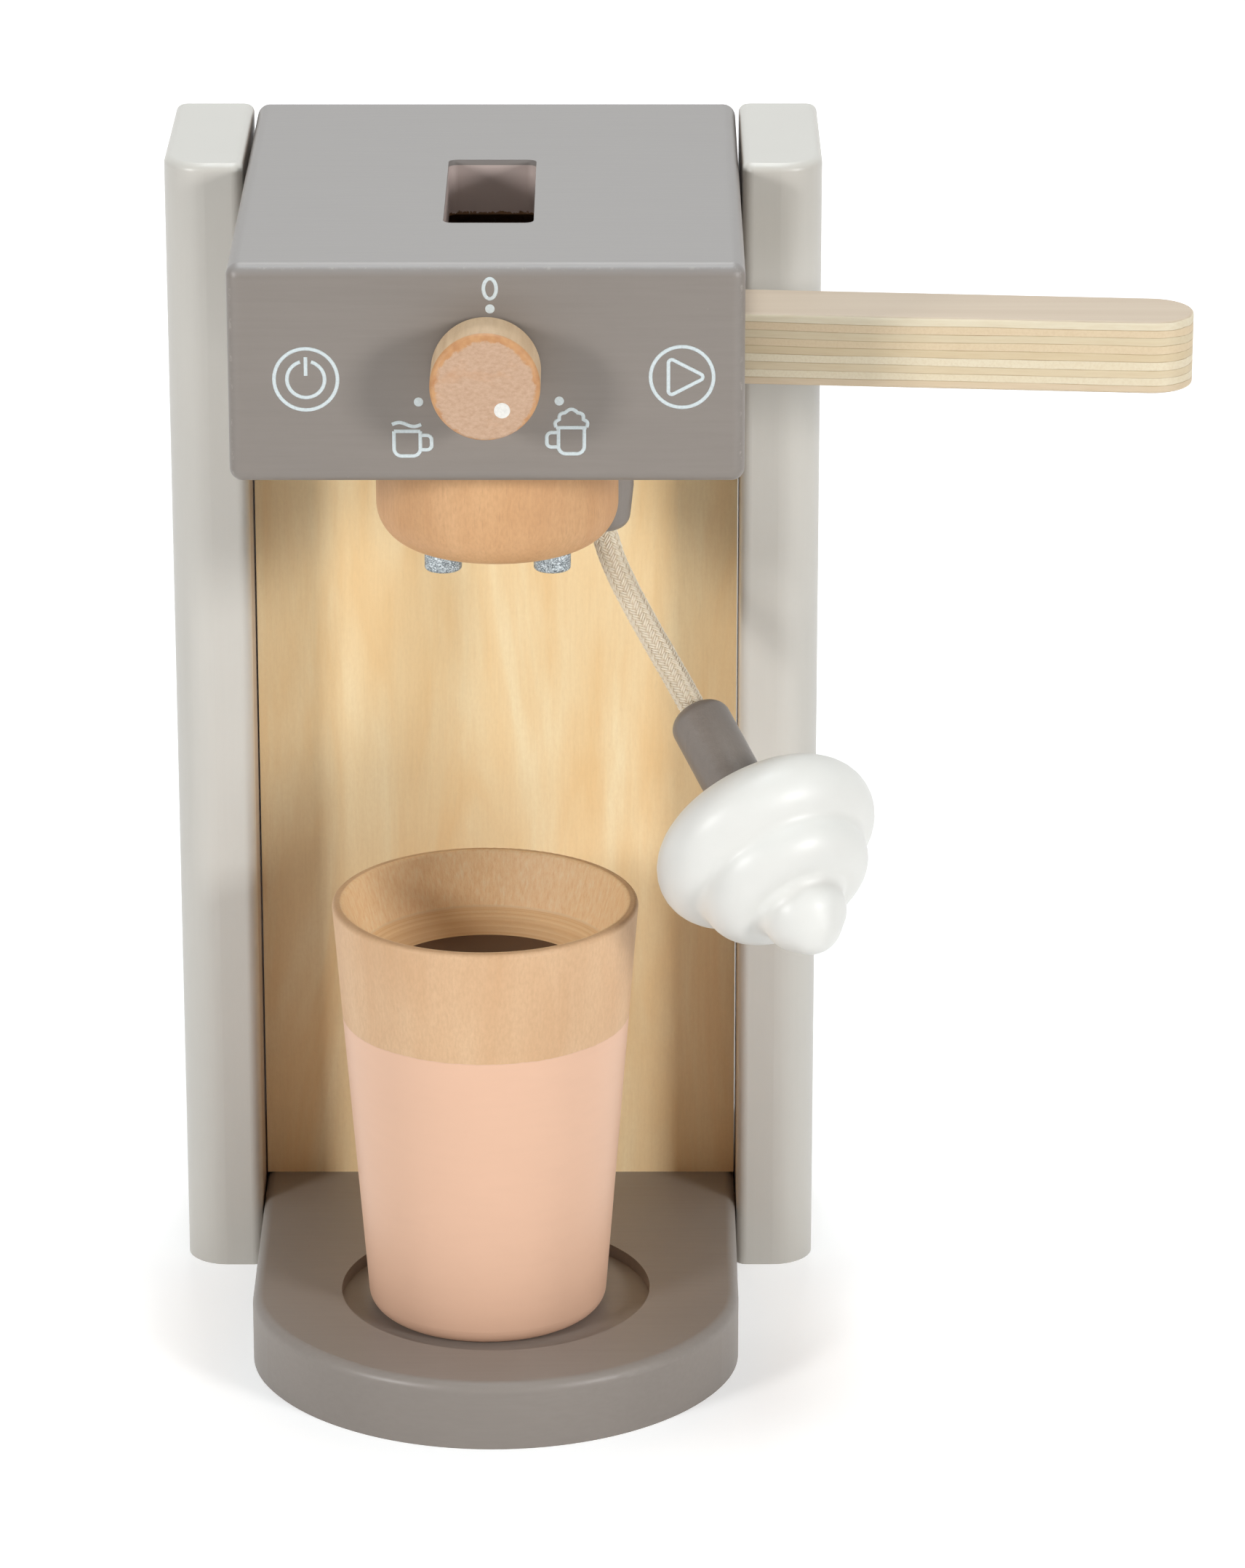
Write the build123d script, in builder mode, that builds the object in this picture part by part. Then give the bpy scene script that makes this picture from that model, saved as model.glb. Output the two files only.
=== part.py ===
from build123d import *
import os
from math import cos, pi, radians, sin, tan

# Wooden toy coffee maker. Millimetres, X to the right, Y to the back, Z up.
# The origin lies on the surface that the toy stands on, in its middle plane,
# under the front edges of the two side panels.

os.makedirs("parts", exist_ok=True)

# ---------------------------------------------------------------- fits
glue_fit = 0.05  # radial clearance of a glued dowel, or of a screw in its pilot hole
running_fit = 0.06  # radial clearance of a piece that turns on a pin
end_gap = 0.3  # space left past the end of a dowel or a screw
face_gap = 0.3  # running gap between a turning face and the face beside it

# ---------------------------------------------------------------- side panels
panel_thickness = 18.0
panel_depth = 57.5
panel_height = 267.4
panel_corner_radius = 9.5  # outer front corner, in plan
panel_edge_radius = 2.5
panel_top_radius = 1.8
bay_width = 111.6  # between the two panels

# ---------------------------------------------------------------- base plate
base_thickness = 15.8
base_side_gap = 0.3
base_front_y = -101.0
base_round_share = 0.464  # depth of its rounded front, as a share of its width
base_corner_share = 0.4  # radius of its rounder arcs, as a share of its width
base_edge_radius = 2.4
recess_radius = 35.2
recess_depth = 3.0
recess_y = -47.7

# ---------------------------------------------------------------- head box
head_side_gap = 0.8  # between the head and each side panel
head_height = 48.1
head_front_y = -84.0
head_wall = 12.5
head_top_thickness = 12.6
head_floor_thickness = 9.0
head_edge_radius = 2.8
slot_width = 19.6
slot_length = 54.0
slot_front_y = -49.5
slot_corner_radius = 2.0

# ---------------------------------------------------------------- back panel
back_panel_thickness = 12.0
back_panel_front_y = 18.7
back_panel_side_gap = 0.4

# ---------------------------------------------------------------- dowels and screws
dowel_radius = 4.0
dowel_depth = 10.0  # how far a dowel goes into each of the two boards
floor_dowel_depth = 5.0  # the thin head floor takes less of it
panel_dowel_first_y = 14.0
panel_dowel_pitch = 24.0
back_dowel_inset = 6.5  # from the inner faces of the head's side walls
screw_length = 21.0
screw_shank_radius = 1.9
screw_head_radius = 3.9
screw_tip_length = 3.0
countersink_angle = 90.0

# ---------------------------------------------------------------- knob
knob_radius = 11.7
knob_length = 14.5
knob_edge_radius = 1.2
knob_axis_height = 25.5  # above the underside of the head
knob_axle_radius = 4.0
knob_axle_depth = 9.0  # how far the axle goes into the knob
retainer_radius = 8.0
retainer_thickness = 4.0

# ---------------------------------------------------------------- brew head
brew_x = 1.5
brew_y = -46.0
brew_radius = 26.6
brew_height = 24.3
brew_edge_radius = 9.0
spout_radius = 4.1
spout_spread = 24.0
spout_reach = 7.2  # below the brew head
spout_depth = 10.0  # inside the brew head
spout_edge_radius = 0.7
brew_screw_spread = 26.0

# ---------------------------------------------------------------- lever
lever_width = 20.0
lever_thickness = 16.0
lever_reach = 123.3  # from its pivot to the tip
lever_tail = 42.0  # from its pivot to the inner end, under the slot
lever_end_radius = 9.4
lever_edge_radius = 0.8
lever_rest_angle = 4.8  # degrees forward of straight out
lever_forward_angle = 30.0
lever_back_angle = 10.0
lever_slot_clearance = 0.6
pivot_inset = 12.5  # from the inner face of the head's right wall
pivot_y = -39.5
pivot_radius = 5.0
pivot_top_depth = 8.0
washer_radius = 11.0
washer_thickness = 3.4

# ---------------------------------------------------------------- frother
holder_right = 23.0  # from the middle of the brew head
holder_behind = 28.0
holder_radius = 7.0
holder_length = 30.9
holder_taper_length = 10.0
holder_end_radius = 5.9
holder_edge_radius = 3.6
rope_radius = 3.0
rope_seat_depth = 4.0  # how far the rope goes into the handle
handle_radius = 6.85
handle_length = 28.5
handle_edge_radius = 3.4
frother_pin_radius = 3.0
frother_pin_depth = 13.0
foam_radius = 26.0
foam_ring_radius = 8.2  # roundness of the widest tier
second_ring_outer = 19.8
second_ring_radius = 6.9
second_ring_drop = 9.4  # below the middle of the widest tier
foam_tip_radius = 9.1
foam_tip_drop = 19.0
foam_groove_radius = 2.6

# ---------------------------------------------------------------- cup
cup_x = -1.8
cup_y = -47.8
cup_height = 97.6
cup_rim_radius = 34.4
cup_bottom_radius = 26.8
cup_bottom_edge_radius = 4.0
cup_rim_wall = 2.5
cup_rim_edge_radius = 1.0
cup_bowl_depth = 12.6
cup_bowl_radius = 28.2  # where the straight wall of the bowl ends
cup_ledge_depth = 17.5
coffee_radius = 23.6
coffee_thickness = 4.0
coffee_fit = 0.1

# ---------------------------------------------------------------- worked out
panel_inner_x = bay_width / 2
base_width = bay_width - 2 * base_side_gap
base_corner_radius = base_corner_share * base_width
shoulder_to_front = base_round_share * base_width
base_shoulder_y = base_front_y + shoulder_to_front  # where the straight sides end
head_width = bay_width - 2 * head_side_gap
head_top_z = panel_height
head_bottom_z = head_top_z - head_height
head_floor_z = head_bottom_z + head_floor_thickness
head_ceiling_z = head_top_z - head_top_thickness
head_back_y = panel_depth
head_inner_x = head_width / 2 - head_wall
pivot_x = head_inner_x - pivot_inset
head_inner_front_y = head_front_y + head_wall
head_inner_back_y = head_back_y - head_wall
panel_dowel_y = [panel_dowel_first_y, panel_dowel_first_y + panel_dowel_pitch]
base_dowel_z = base_thickness / 2
head_dowel_z = head_bottom_z + head_height / 2
back_panel_y = back_panel_front_y + back_panel_thickness / 2
lever_bottom_z = head_floor_z + washer_thickness
slot_y = slot_front_y + slot_length / 2
cup_floor_z = base_thickness - recess_depth
holder_x = brew_x + holder_right
holder_y = brew_y + holder_behind
screw_hole_depth = screw_length - head_floor_thickness + end_gap


def save(builder, name):
    """Label a finished piece and write it to its own file."""
    builder.part.label = name
    export_step(builder.part, f"parts/{name}.step")


def board(x_range, y_range, z_range, mode=Mode.ADD):
    """A square-edged board between the given limits, or a cut of that shape."""
    size = [high - low for low, high in (x_range, y_range, z_range)]
    middle = Vector(*[(low + high) / 2 for low, high in (x_range, y_range, z_range)])
    with Locations(middle):
        Box(*size, mode=mode)


def rod(plane, radius, length):
    """A round rod that starts at the plane and runs along its normal."""
    with Locations(plane):
        Cylinder(radius, length, align=(Align.CENTER, Align.CENTER, Align.MIN))


def panel_dowel_holes(face_x, outward, z):
    """Blind holes for the two dowels that join a side panel to its neighbour."""
    with Locations(*[Plane((face_x, y, z), z_dir=(outward, 0, 0)) for y in panel_dowel_y]):
        Hole(dowel_radius + glue_fit, dowel_depth)


# ---------------------------------------------------------------- side panels
def side_panel(side):
    """Upright board with a full round on its outer front edge; side is -1 on the left."""
    middle_x = side * (panel_inner_x + panel_thickness / 2)
    outer = -1 if side > 0 else 0
    inner = 0 if side > 0 else -1
    with BuildPart() as panel:
        with BuildSketch() as plan:
            with Locations((middle_x, panel_depth / 2)):
                Rectangle(panel_thickness, panel_depth)
            fillet(plan.vertices().group_by(Axis.Y)[-1], panel_edge_radius)
            fillet(plan.vertices().group_by(Axis.Y)[0].sort_by(Axis.X)[inner], panel_edge_radius)
            fillet(plan.vertices().group_by(Axis.Y)[0].sort_by(Axis.X)[outer], panel_corner_radius)
        extrude(amount=panel_height)
        fillet(panel.faces().sort_by(Axis.Z)[-1].edges(), panel_top_radius)
        for z in (base_dowel_z, head_dowel_z):
            panel_dowel_holes(side * panel_inner_x, -side, z)
    return panel


save(side_panel(-1), "side_panel_left")
save(side_panel(1), "side_panel_right")

# ---------------------------------------------------------------- base plate
# In plan the front is one shallow arc that meets a rounder arc on each side.
corner_arc_x = base_width / 2 - base_corner_radius
front_arc_radius = (corner_arc_x**2 + shoulder_to_front**2 - base_corner_radius**2) / (
    2 * (shoulder_to_front - base_corner_radius)
)
front_arc_centre = Vector(0, base_front_y + front_arc_radius)
corner_arc_centre = Vector(corner_arc_x, base_shoulder_y)
arc_joint = front_arc_centre + (corner_arc_centre - front_arc_centre).normalized() * front_arc_radius
corner_arc_bisector = (arc_joint - corner_arc_centre) + Vector(base_corner_radius, 0)
corner_arc_middle = corner_arc_centre + corner_arc_bisector.normalized() * base_corner_radius
back_dowel_x = [back_dowel_inset - head_inner_x, head_inner_x - back_dowel_inset]

with BuildPart() as base_plate:
    with BuildSketch():
        with BuildLine():
            Polyline((0, panel_depth), (base_width / 2, panel_depth), (base_width / 2, base_shoulder_y))
            ThreePointArc((base_width / 2, base_shoulder_y), corner_arc_middle, arc_joint)
            RadiusArc(arc_joint, (0, base_front_y), front_arc_radius)
            mirror(about=Plane.YZ)
        make_face()
    extrude(amount=base_thickness)
    fillet(base_plate.faces().sort_by(Axis.Z)[-1].edges().sort_by(Axis.Y)[:-1], base_edge_radius)
    with BuildSketch(Plane((0, recess_y, base_thickness))):
        Circle(recess_radius)
    extrude(amount=-recess_depth, mode=Mode.SUBTRACT)
    for side in (-1, 1):
        panel_dowel_holes(side * base_width / 2, side, base_dowel_z)
    with Locations(*[(x, back_panel_y, base_thickness) for x in back_dowel_x]):
        Hole(dowel_radius + glue_fit, dowel_depth)
save(base_plate, "base_plate")

# ---------------------------------------------------------------- back panel
back_panel_half = panel_inner_x - back_panel_side_gap
with BuildPart() as back_panel:
    board(
        (-back_panel_half, back_panel_half),
        (back_panel_front_y, back_panel_front_y + back_panel_thickness),
        (base_thickness, head_bottom_z),
    )
    with Locations(*[Plane((x, back_panel_y, base_thickness), z_dir=(0, 0, -1)) for x in back_dowel_x]):
        Hole(dowel_radius + glue_fit, dowel_depth)
    with Locations(*[(x, back_panel_y, head_bottom_z) for x in back_dowel_x]):
        Hole(dowel_radius + glue_fit, dowel_depth)
save(back_panel, "back_panel")

# ---------------------------------------------------------------- head box
outer_x = head_width / 2
knob_z = head_bottom_z + knob_axis_height

with BuildPart() as head_top:
    board((-outer_x, outer_x), (head_front_y, head_back_y), (head_ceiling_z, head_top_z))
    fillet(head_top.edges().filter_by(Axis.Z), head_edge_radius)
    fillet(head_top.faces().sort_by(Axis.Z)[-1].edges(), head_edge_radius)
    with BuildSketch(Plane.XY.offset(head_top_z)):
        with Locations((0, slot_y)):
            RectangleRounded(slot_width, slot_length, slot_corner_radius)
    extrude(amount=-head_top_thickness, mode=Mode.SUBTRACT)
    with Locations(Plane((pivot_x, pivot_y, head_ceiling_z), z_dir=(0, 0, -1))):
        Hole(pivot_radius + glue_fit, pivot_top_depth)
save(head_top, "head_top")

with BuildPart() as head_front:
    board((-outer_x, outer_x), (head_front_y, head_inner_front_y), (head_bottom_z, head_ceiling_z))
    fillet(head_front.faces().sort_by(Axis.Y)[0].edges().filter_by(Axis.Z), head_edge_radius)
    fillet(head_front.faces().sort_by(Axis.Z)[0].edges().sort_by(Axis.Y)[:-1], head_edge_radius)
    with Locations(Plane((0, head_front_y, knob_z), z_dir=(0, -1, 0))):
        Hole(knob_axle_radius + running_fit, head_wall)
save(head_front, "head_front")

with BuildPart() as head_back:
    board((-outer_x, outer_x), (head_inner_back_y, head_back_y), (head_bottom_z, head_ceiling_z))
    fillet(head_back.faces().sort_by(Axis.Y)[-1].edges().filter_by(Axis.Z), head_edge_radius)
    fillet(head_back.faces().sort_by(Axis.Z)[0].edges().sort_by(Axis.Y)[1:], head_edge_radius)
save(head_back, "head_back")

# The lever passes through the right side board and stops at the two ends of its slot.
forward_stop = radians(lever_forward_angle)
back_stop = radians(lever_back_angle)
pivot_to_wall = outer_x - pivot_x
forward_half_width = lever_width / 2 / cos(forward_stop) + lever_slot_clearance
back_half_width = lever_width / 2 / cos(back_stop) + lever_slot_clearance
lever_slot_y = (
    pivot_y - pivot_to_wall * tan(forward_stop) - forward_half_width,
    pivot_y + pivot_to_wall * tan(back_stop) + back_half_width,
)
lever_slot_z = (
    lever_bottom_z - lever_slot_clearance,
    lever_bottom_z + lever_thickness + lever_slot_clearance,
)


def head_side(side):
    """Side board of the head, between its front and back boards."""
    with BuildPart() as wall:
        board(
            sorted((side * head_inner_x, side * outer_x)),
            (head_inner_front_y, head_inner_back_y),
            (head_bottom_z, head_ceiling_z),
        )
        bottom_edges = wall.faces().sort_by(Axis.Z)[0].edges().filter_by(Axis.Y)
        fillet(bottom_edges.sort_by(Axis.X)[0 if side < 0 else -1], head_edge_radius)
        panel_dowel_holes(side * outer_x, side, head_dowel_z)
        if side > 0:
            board((head_inner_x, outer_x), lever_slot_y, lever_slot_z, mode=Mode.SUBTRACT)
    return wall


save(head_side(-1), "head_side_left")
save(head_side(1), "head_side_right")

brew_screw_y = [brew_y - brew_screw_spread / 2, brew_y + brew_screw_spread / 2]
screw_places = [(brew_x, y, head_floor_z) for y in brew_screw_y] + [(holder_x, holder_y, head_floor_z)]
with BuildPart() as head_floor:
    board(
        (-head_inner_x, head_inner_x),
        (head_inner_front_y, head_inner_back_y),
        (head_bottom_z, head_floor_z),
    )
    with Locations(*screw_places):
        CounterSinkHole(
            screw_shank_radius + glue_fit,
            screw_head_radius + glue_fit,
            counter_sink_angle=countersink_angle,
        )
    with Locations(*[Plane((x, back_panel_y, head_bottom_z), z_dir=(0, 0, -1)) for x in back_dowel_x]):
        Hole(dowel_radius + glue_fit, floor_dowel_depth)
    with Locations((pivot_x, pivot_y, head_floor_z)):
        Hole(pivot_radius + glue_fit, floor_dowel_depth)
save(head_floor, "head_floor")


# ---------------------------------------------------------------- dowels
def panel_dowels(neighbour_half_width, z):
    """Four dowels across the gaps between the side panels and the piece between them."""
    gap = panel_inner_x - neighbour_half_width
    length = 2 * dowel_depth + gap - 2 * end_gap
    middle_x = panel_inner_x - gap / 2
    middles = [(side * middle_x, y, z) for side in (-1, 1) for y in panel_dowel_y]
    with BuildPart() as dowels:
        with Locations(*[Plane(middle, z_dir=(1, 0, 0)) for middle in middles]):
            Cylinder(dowel_radius, length)
    return dowels


save(panel_dowels(base_width / 2, base_dowel_z), "base_dowels")
save(panel_dowels(outer_x, head_dowel_z), "head_dowels")

with BuildPart() as back_panel_dowels:
    lower_length = 2 * (dowel_depth - end_gap)
    upper_length = dowel_depth + floor_dowel_depth - 2 * end_gap
    upper_middle_z = head_bottom_z + (floor_dowel_depth - dowel_depth) / 2
    with Locations(*[(x, back_panel_y, base_thickness) for x in back_dowel_x]):
        Cylinder(dowel_radius, lower_length)
    with Locations(*[(x, back_panel_y, upper_middle_z) for x in back_dowel_x]):
        Cylinder(dowel_radius, upper_length)
save(back_panel_dowels, "back_panel_dowels")


# ---------------------------------------------------------------- screws
def wood_screws(places):
    """Countersunk screws with their heads flush at the given points, pointing down."""
    cone_end = screw_length - screw_tip_length
    with BuildPart() as screws:
        for x, y, z in places:
            with BuildSketch(Plane((x, y, z), x_dir=(1, 0, 0), z_dir=(0, -1, 0))):
                Polygon(
                    (0, 0),
                    (screw_head_radius, 0),
                    (screw_shank_radius, screw_shank_radius - screw_head_radius),
                    (screw_shank_radius, -cone_end),
                    (0, -screw_length),
                    align=None,
                )
            revolve(axis=Axis((x, y, z), (0, 0, 1)))
    return screws


save(wood_screws(screw_places[:2]), "brew_head_screws")
save(wood_screws(screw_places[2:]), "frother_holder_screw")

# ---------------------------------------------------------------- knob
front = (0, -1, 0)
knob_back_y = head_front_y - face_gap
knob_front_y = knob_back_y - knob_length
retainer_front_y = head_inner_front_y + face_gap
axle_front_y = knob_back_y - knob_axle_depth + end_gap
axle_back_y = retainer_front_y + retainer_thickness

with BuildPart() as knob:
    rod(Plane((0, knob_back_y, knob_z), z_dir=front), knob_radius, knob_length)
    fillet(knob.edges(), knob_edge_radius)
    with Locations(Plane((0, knob_back_y, knob_z), z_dir=(0, 1, 0))):
        Hole(knob_axle_radius + glue_fit, knob_axle_depth)
save(knob, "knob")

with BuildPart() as knob_axle:
    rod(Plane((0, axle_back_y, knob_z), z_dir=front), knob_axle_radius, axle_back_y - axle_front_y)
save(knob_axle, "knob_axle")

with BuildPart() as knob_retainer:
    with BuildSketch(Plane((0, axle_back_y, knob_z), z_dir=front)):
        Circle(retainer_radius)
        Circle(knob_axle_radius + glue_fit, mode=Mode.SUBTRACT)
    extrude(amount=retainer_thickness)
save(knob_retainer, "knob_retainer")

# ---------------------------------------------------------------- brew head and spouts
brew_bottom_z = head_bottom_z - brew_height
spout_x = [brew_x - spout_spread / 2, brew_x + spout_spread / 2]
down = (0, 0, -1)

with BuildPart() as brew_head:
    rod(Plane((brew_x, brew_y, head_bottom_z), z_dir=down), brew_radius, brew_height)
    fillet(brew_head.edges().sort_by(Axis.Z)[0], brew_edge_radius)
    with Locations(*[Plane((x, brew_y, brew_bottom_z), z_dir=down) for x in spout_x]):
        Hole(spout_radius + glue_fit, spout_depth)
    with Locations(*[(brew_x, y, head_bottom_z) for y in brew_screw_y]):
        Hole(screw_shank_radius + glue_fit, screw_hole_depth)
save(brew_head, "brew_head")


def spout(x):
    """Short dowel that stands for one stream of coffee."""
    top_z = brew_bottom_z + spout_depth - end_gap
    with BuildPart() as stream:
        rod(Plane((x, brew_y, top_z), z_dir=down), spout_radius, spout_depth - end_gap + spout_reach)
        fillet(stream.edges().sort_by(Axis.Z)[0], spout_edge_radius)
    return stream


save(spout(spout_x[0]), "spout_left")
save(spout(spout_x[1]), "spout_right")

# ---------------------------------------------------------------- lever
lever_turn = -radians(lever_rest_angle)
lever_plane = Plane(
    (pivot_x, pivot_y, lever_bottom_z),
    x_dir=(cos(lever_turn), sin(lever_turn), 0),
    z_dir=(0, 0, 1),
)
lever_length = lever_reach + lever_tail
with BuildPart() as lever:
    with BuildSketch(lever_plane):
        with Locations(((lever_reach - lever_tail) / 2, 0)):
            RectangleRounded(lever_length, lever_width, lever_end_radius)
    extrude(amount=lever_thickness)
    fillet(lever.faces().group_by(Axis.Z)[-1].edges(), lever_edge_radius)
    fillet(lever.faces().group_by(Axis.Z)[0].edges(), lever_edge_radius)
    with Locations((pivot_x, pivot_y, lever_bottom_z + lever_thickness)):
        Hole(pivot_radius + running_fit, lever_thickness)
save(lever, "lever")

pivot_bottom_z = head_floor_z - floor_dowel_depth + end_gap
pivot_top_z = head_ceiling_z + pivot_top_depth - end_gap
with BuildPart() as lever_pivot:
    rod(Plane((pivot_x, pivot_y, pivot_bottom_z)), pivot_radius, pivot_top_z - pivot_bottom_z)
save(lever_pivot, "lever_pivot")


def pivot_ring(bottom_z, top_z):
    """Ring on the lever's pivot that keeps the lever at its height."""
    with BuildPart() as ring:
        with BuildSketch(Plane((pivot_x, pivot_y, bottom_z))):
            Circle(washer_radius)
            Circle(pivot_radius + glue_fit, mode=Mode.SUBTRACT)
        extrude(amount=top_z - bottom_z)
    return ring


save(pivot_ring(head_floor_z, lever_bottom_z), "lever_washer")
save(pivot_ring(lever_bottom_z + lever_thickness + face_gap, head_ceiling_z), "lever_spacer")

# ---------------------------------------------------------------- frother on its rope
# The rope's points, measured from where it leaves the middle of the holder's lower end.
rope_exit = Vector(holder_x, holder_y, head_bottom_z - holder_length)
rope_steps = [
    (-0.8, 0.5, 4.0),
    (1.0, -0.7, -4.2),
    (4.9, -4.3, -12.3),
    (9.9, -9.9, -20.1),
    (14.5, -15.9, -26.6),
    (18.7, -22.3, -32.2),
    (22.4, -28.9, -37.2),
]
rope_points = [rope_exit + Vector(*step) for step in rope_steps]
rope_bend_share = 0.45  # of the shorter of the two runs at each point


def bend_radii(points):
    """The largest arcs that the runs beside each inner point leave room for."""
    radii = []
    for before, here, after in zip(points, points[1:], points[2:]):
        half_turn = radians((here - before).get_angle(after - here)) / 2
        shorter = min((here - before).length, (after - here).length)
        radii.append(rope_bend_share * shorter / tan(half_turn))
    return radii


rope_radii = bend_radii(rope_points)
print("rope radii", [round(r, 1) for r in rope_radii])
exit_direction = (rope_points[1] - rope_points[0]).normalized()
with BuildPart() as frother_rope:
    with BuildLine() as rope_path:
        FilletPolyline(*rope_points, radius=rope_radii)
    with BuildSketch(Plane(rope_points[0], z_dir=exit_direction)):
        Circle(rope_radius)
    sweep()
rope_length = sum(edge.length for edge in rope_path.edges())
print("rope length", round(rope_length, 1), "volume", round(frother_rope.part.volume, 1))
print("section times length", round(pi * rope_radius**2 * rope_length, 1))
save(frother_rope, "frother_rope")

# The holder is straight at first and a little slimmer towards its rounded lower end.
holder_shoulder_z = head_bottom_z - holder_length + holder_taper_length
holder_section = Plane((holder_x, holder_y, 0), x_dir=(1, 0, 0), z_dir=(0, -1, 0))
with BuildPart() as frother_holder:
    with BuildSketch(holder_section):
        Polygon(
            (0, head_bottom_z),
            (holder_radius, head_bottom_z),
            (holder_radius, holder_shoulder_z),
            (holder_end_radius, holder_shoulder_z - holder_taper_length),
            (0, holder_shoulder_z - holder_taper_length),
            align=None,
        )
    revolve(axis=Axis((holder_x, holder_y, 0), (0, 0, 1)))
    fillet(frother_holder.edges().sort_by(Axis.Z)[0], holder_edge_radius)
    with Locations((holder_x, holder_y, head_bottom_z)):
        Hole(screw_shank_radius + glue_fit, screw_hole_depth)
    with BuildSketch(Plane(rope_points[0], z_dir=exit_direction)):
        Circle(rope_radius + glue_fit)
    extrude(amount=2 * holder_radius, mode=Mode.SUBTRACT)
save(frother_holder, "frother_holder")

# The handle and the foam are turned about the line of the rope's last run, which ends inside
# the handle.
frother_axis = (rope_points[-1] - rope_points[-2]).normalized()
handle_top = rope_points[-1] - frother_axis * rope_seat_depth
foam_top = handle_top + frother_axis * handle_length
foam_side = Vector(0, 0, 1).cross(frother_axis).normalized()
foam_profile_plane = Plane(foam_top, x_dir=foam_side, z_dir=foam_side.cross(frother_axis))

with BuildPart() as frother_handle:
    rod(Plane(handle_top, z_dir=frother_axis), handle_radius, handle_length)
    top_edge = frother_handle.edges().sort_by(Axis(handle_top, frother_axis))[0]
    fillet(top_edge, handle_edge_radius)
    with Locations(Plane(foam_top, z_dir=frother_axis)):
        Hole(frother_pin_radius + glue_fit, frother_pin_depth)
    with Locations(Plane(handle_top, z_dir=frother_axis * -1)):
        Hole(rope_radius + glue_fit, rope_seat_depth + end_gap)
save(frother_handle, "frother_handle")

frother_pin_half = frother_pin_depth - end_gap
frother_pin_top = foam_top - frother_axis * frother_pin_half
with BuildPart() as frother_pin:
    rod(Plane(frother_pin_top, z_dir=frother_axis), frother_pin_radius, 2 * frother_pin_half)
save(frother_pin, "frother_pin")

# Three soft tiers, each smaller than the one above it.
first_ring_x = foam_radius - foam_ring_radius
first_ring_y = foam_ring_radius
second_ring_x = second_ring_outer - second_ring_radius
second_ring_y = first_ring_y + second_ring_drop
foam_tip_y = first_ring_y + foam_tip_drop
foam_length = foam_tip_y + foam_tip_radius
with BuildPart() as milk_foam:
    with BuildSketch(foam_profile_plane) as foam_profile:
        with Locations((first_ring_x, first_ring_y)):
            Circle(foam_ring_radius)
        with Locations((second_ring_x, second_ring_y)):
            Circle(second_ring_radius)
        with Locations((0, foam_tip_y)):
            Circle(foam_tip_radius)
        Polygon(
            (0, 0),
            (first_ring_x, 0),
            (first_ring_x, first_ring_y),
            (second_ring_x, second_ring_y),
            (0, foam_tip_y),
            align=None,
        )
        with Locations((foam_radius, foam_length / 2)):
            Rectangle(2 * foam_radius, 2 * foam_length, mode=Mode.INTERSECT)
        by_height = foam_profile.vertices().sort_by(Axis(foam_top, frother_axis))
        grooves = [v for v in by_height if foam_side.dot(Vector(v) - foam_top) > foam_groove_radius]
        fillet(grooves[-2:], foam_groove_radius)
    revolve(axis=Axis(foam_top, frother_axis))
    with Locations(Plane(foam_top, z_dir=frother_axis * -1)):
        Hole(frother_pin_radius + glue_fit, frother_pin_depth)
save(milk_foam, "milk_foam")

# ---------------------------------------------------------------- cup
cup_axis = Axis((cup_x, cup_y, cup_floor_z), (0, 0, 1))
cup_section = Plane((cup_x, cup_y, cup_floor_z), x_dir=(1, 0, 0), z_dir=(0, -1, 0))
coffee_top = cup_height - cup_ledge_depth
coffee_bottom = coffee_top - coffee_thickness
coffee_plane = Plane((cup_x, cup_y, cup_floor_z + coffee_bottom))
with BuildPart() as cup:
    with BuildSketch(cup_section):
        Polygon(
            (0, 0),
            (cup_bottom_radius, 0),
            (cup_rim_radius, cup_height),
            (cup_rim_radius - cup_rim_wall, cup_height),
            (cup_bowl_radius, cup_height - cup_bowl_depth),
            (coffee_radius, coffee_top),
            (coffee_radius, coffee_bottom),
            (0, coffee_bottom),
            align=None,
        )
    revolve(axis=cup_axis)
    fillet(cup.faces().sort_by(Axis.Z)[0].edges(), cup_bottom_edge_radius)
    fillet(cup.faces().sort_by(Axis.Z)[-1].edges(), cup_rim_edge_radius)
save(cup, "cup")

with BuildPart() as coffee_disc:
    rod(coffee_plane, coffee_radius - coffee_fit, coffee_thickness)
save(coffee_disc, "coffee_disc")
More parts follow.
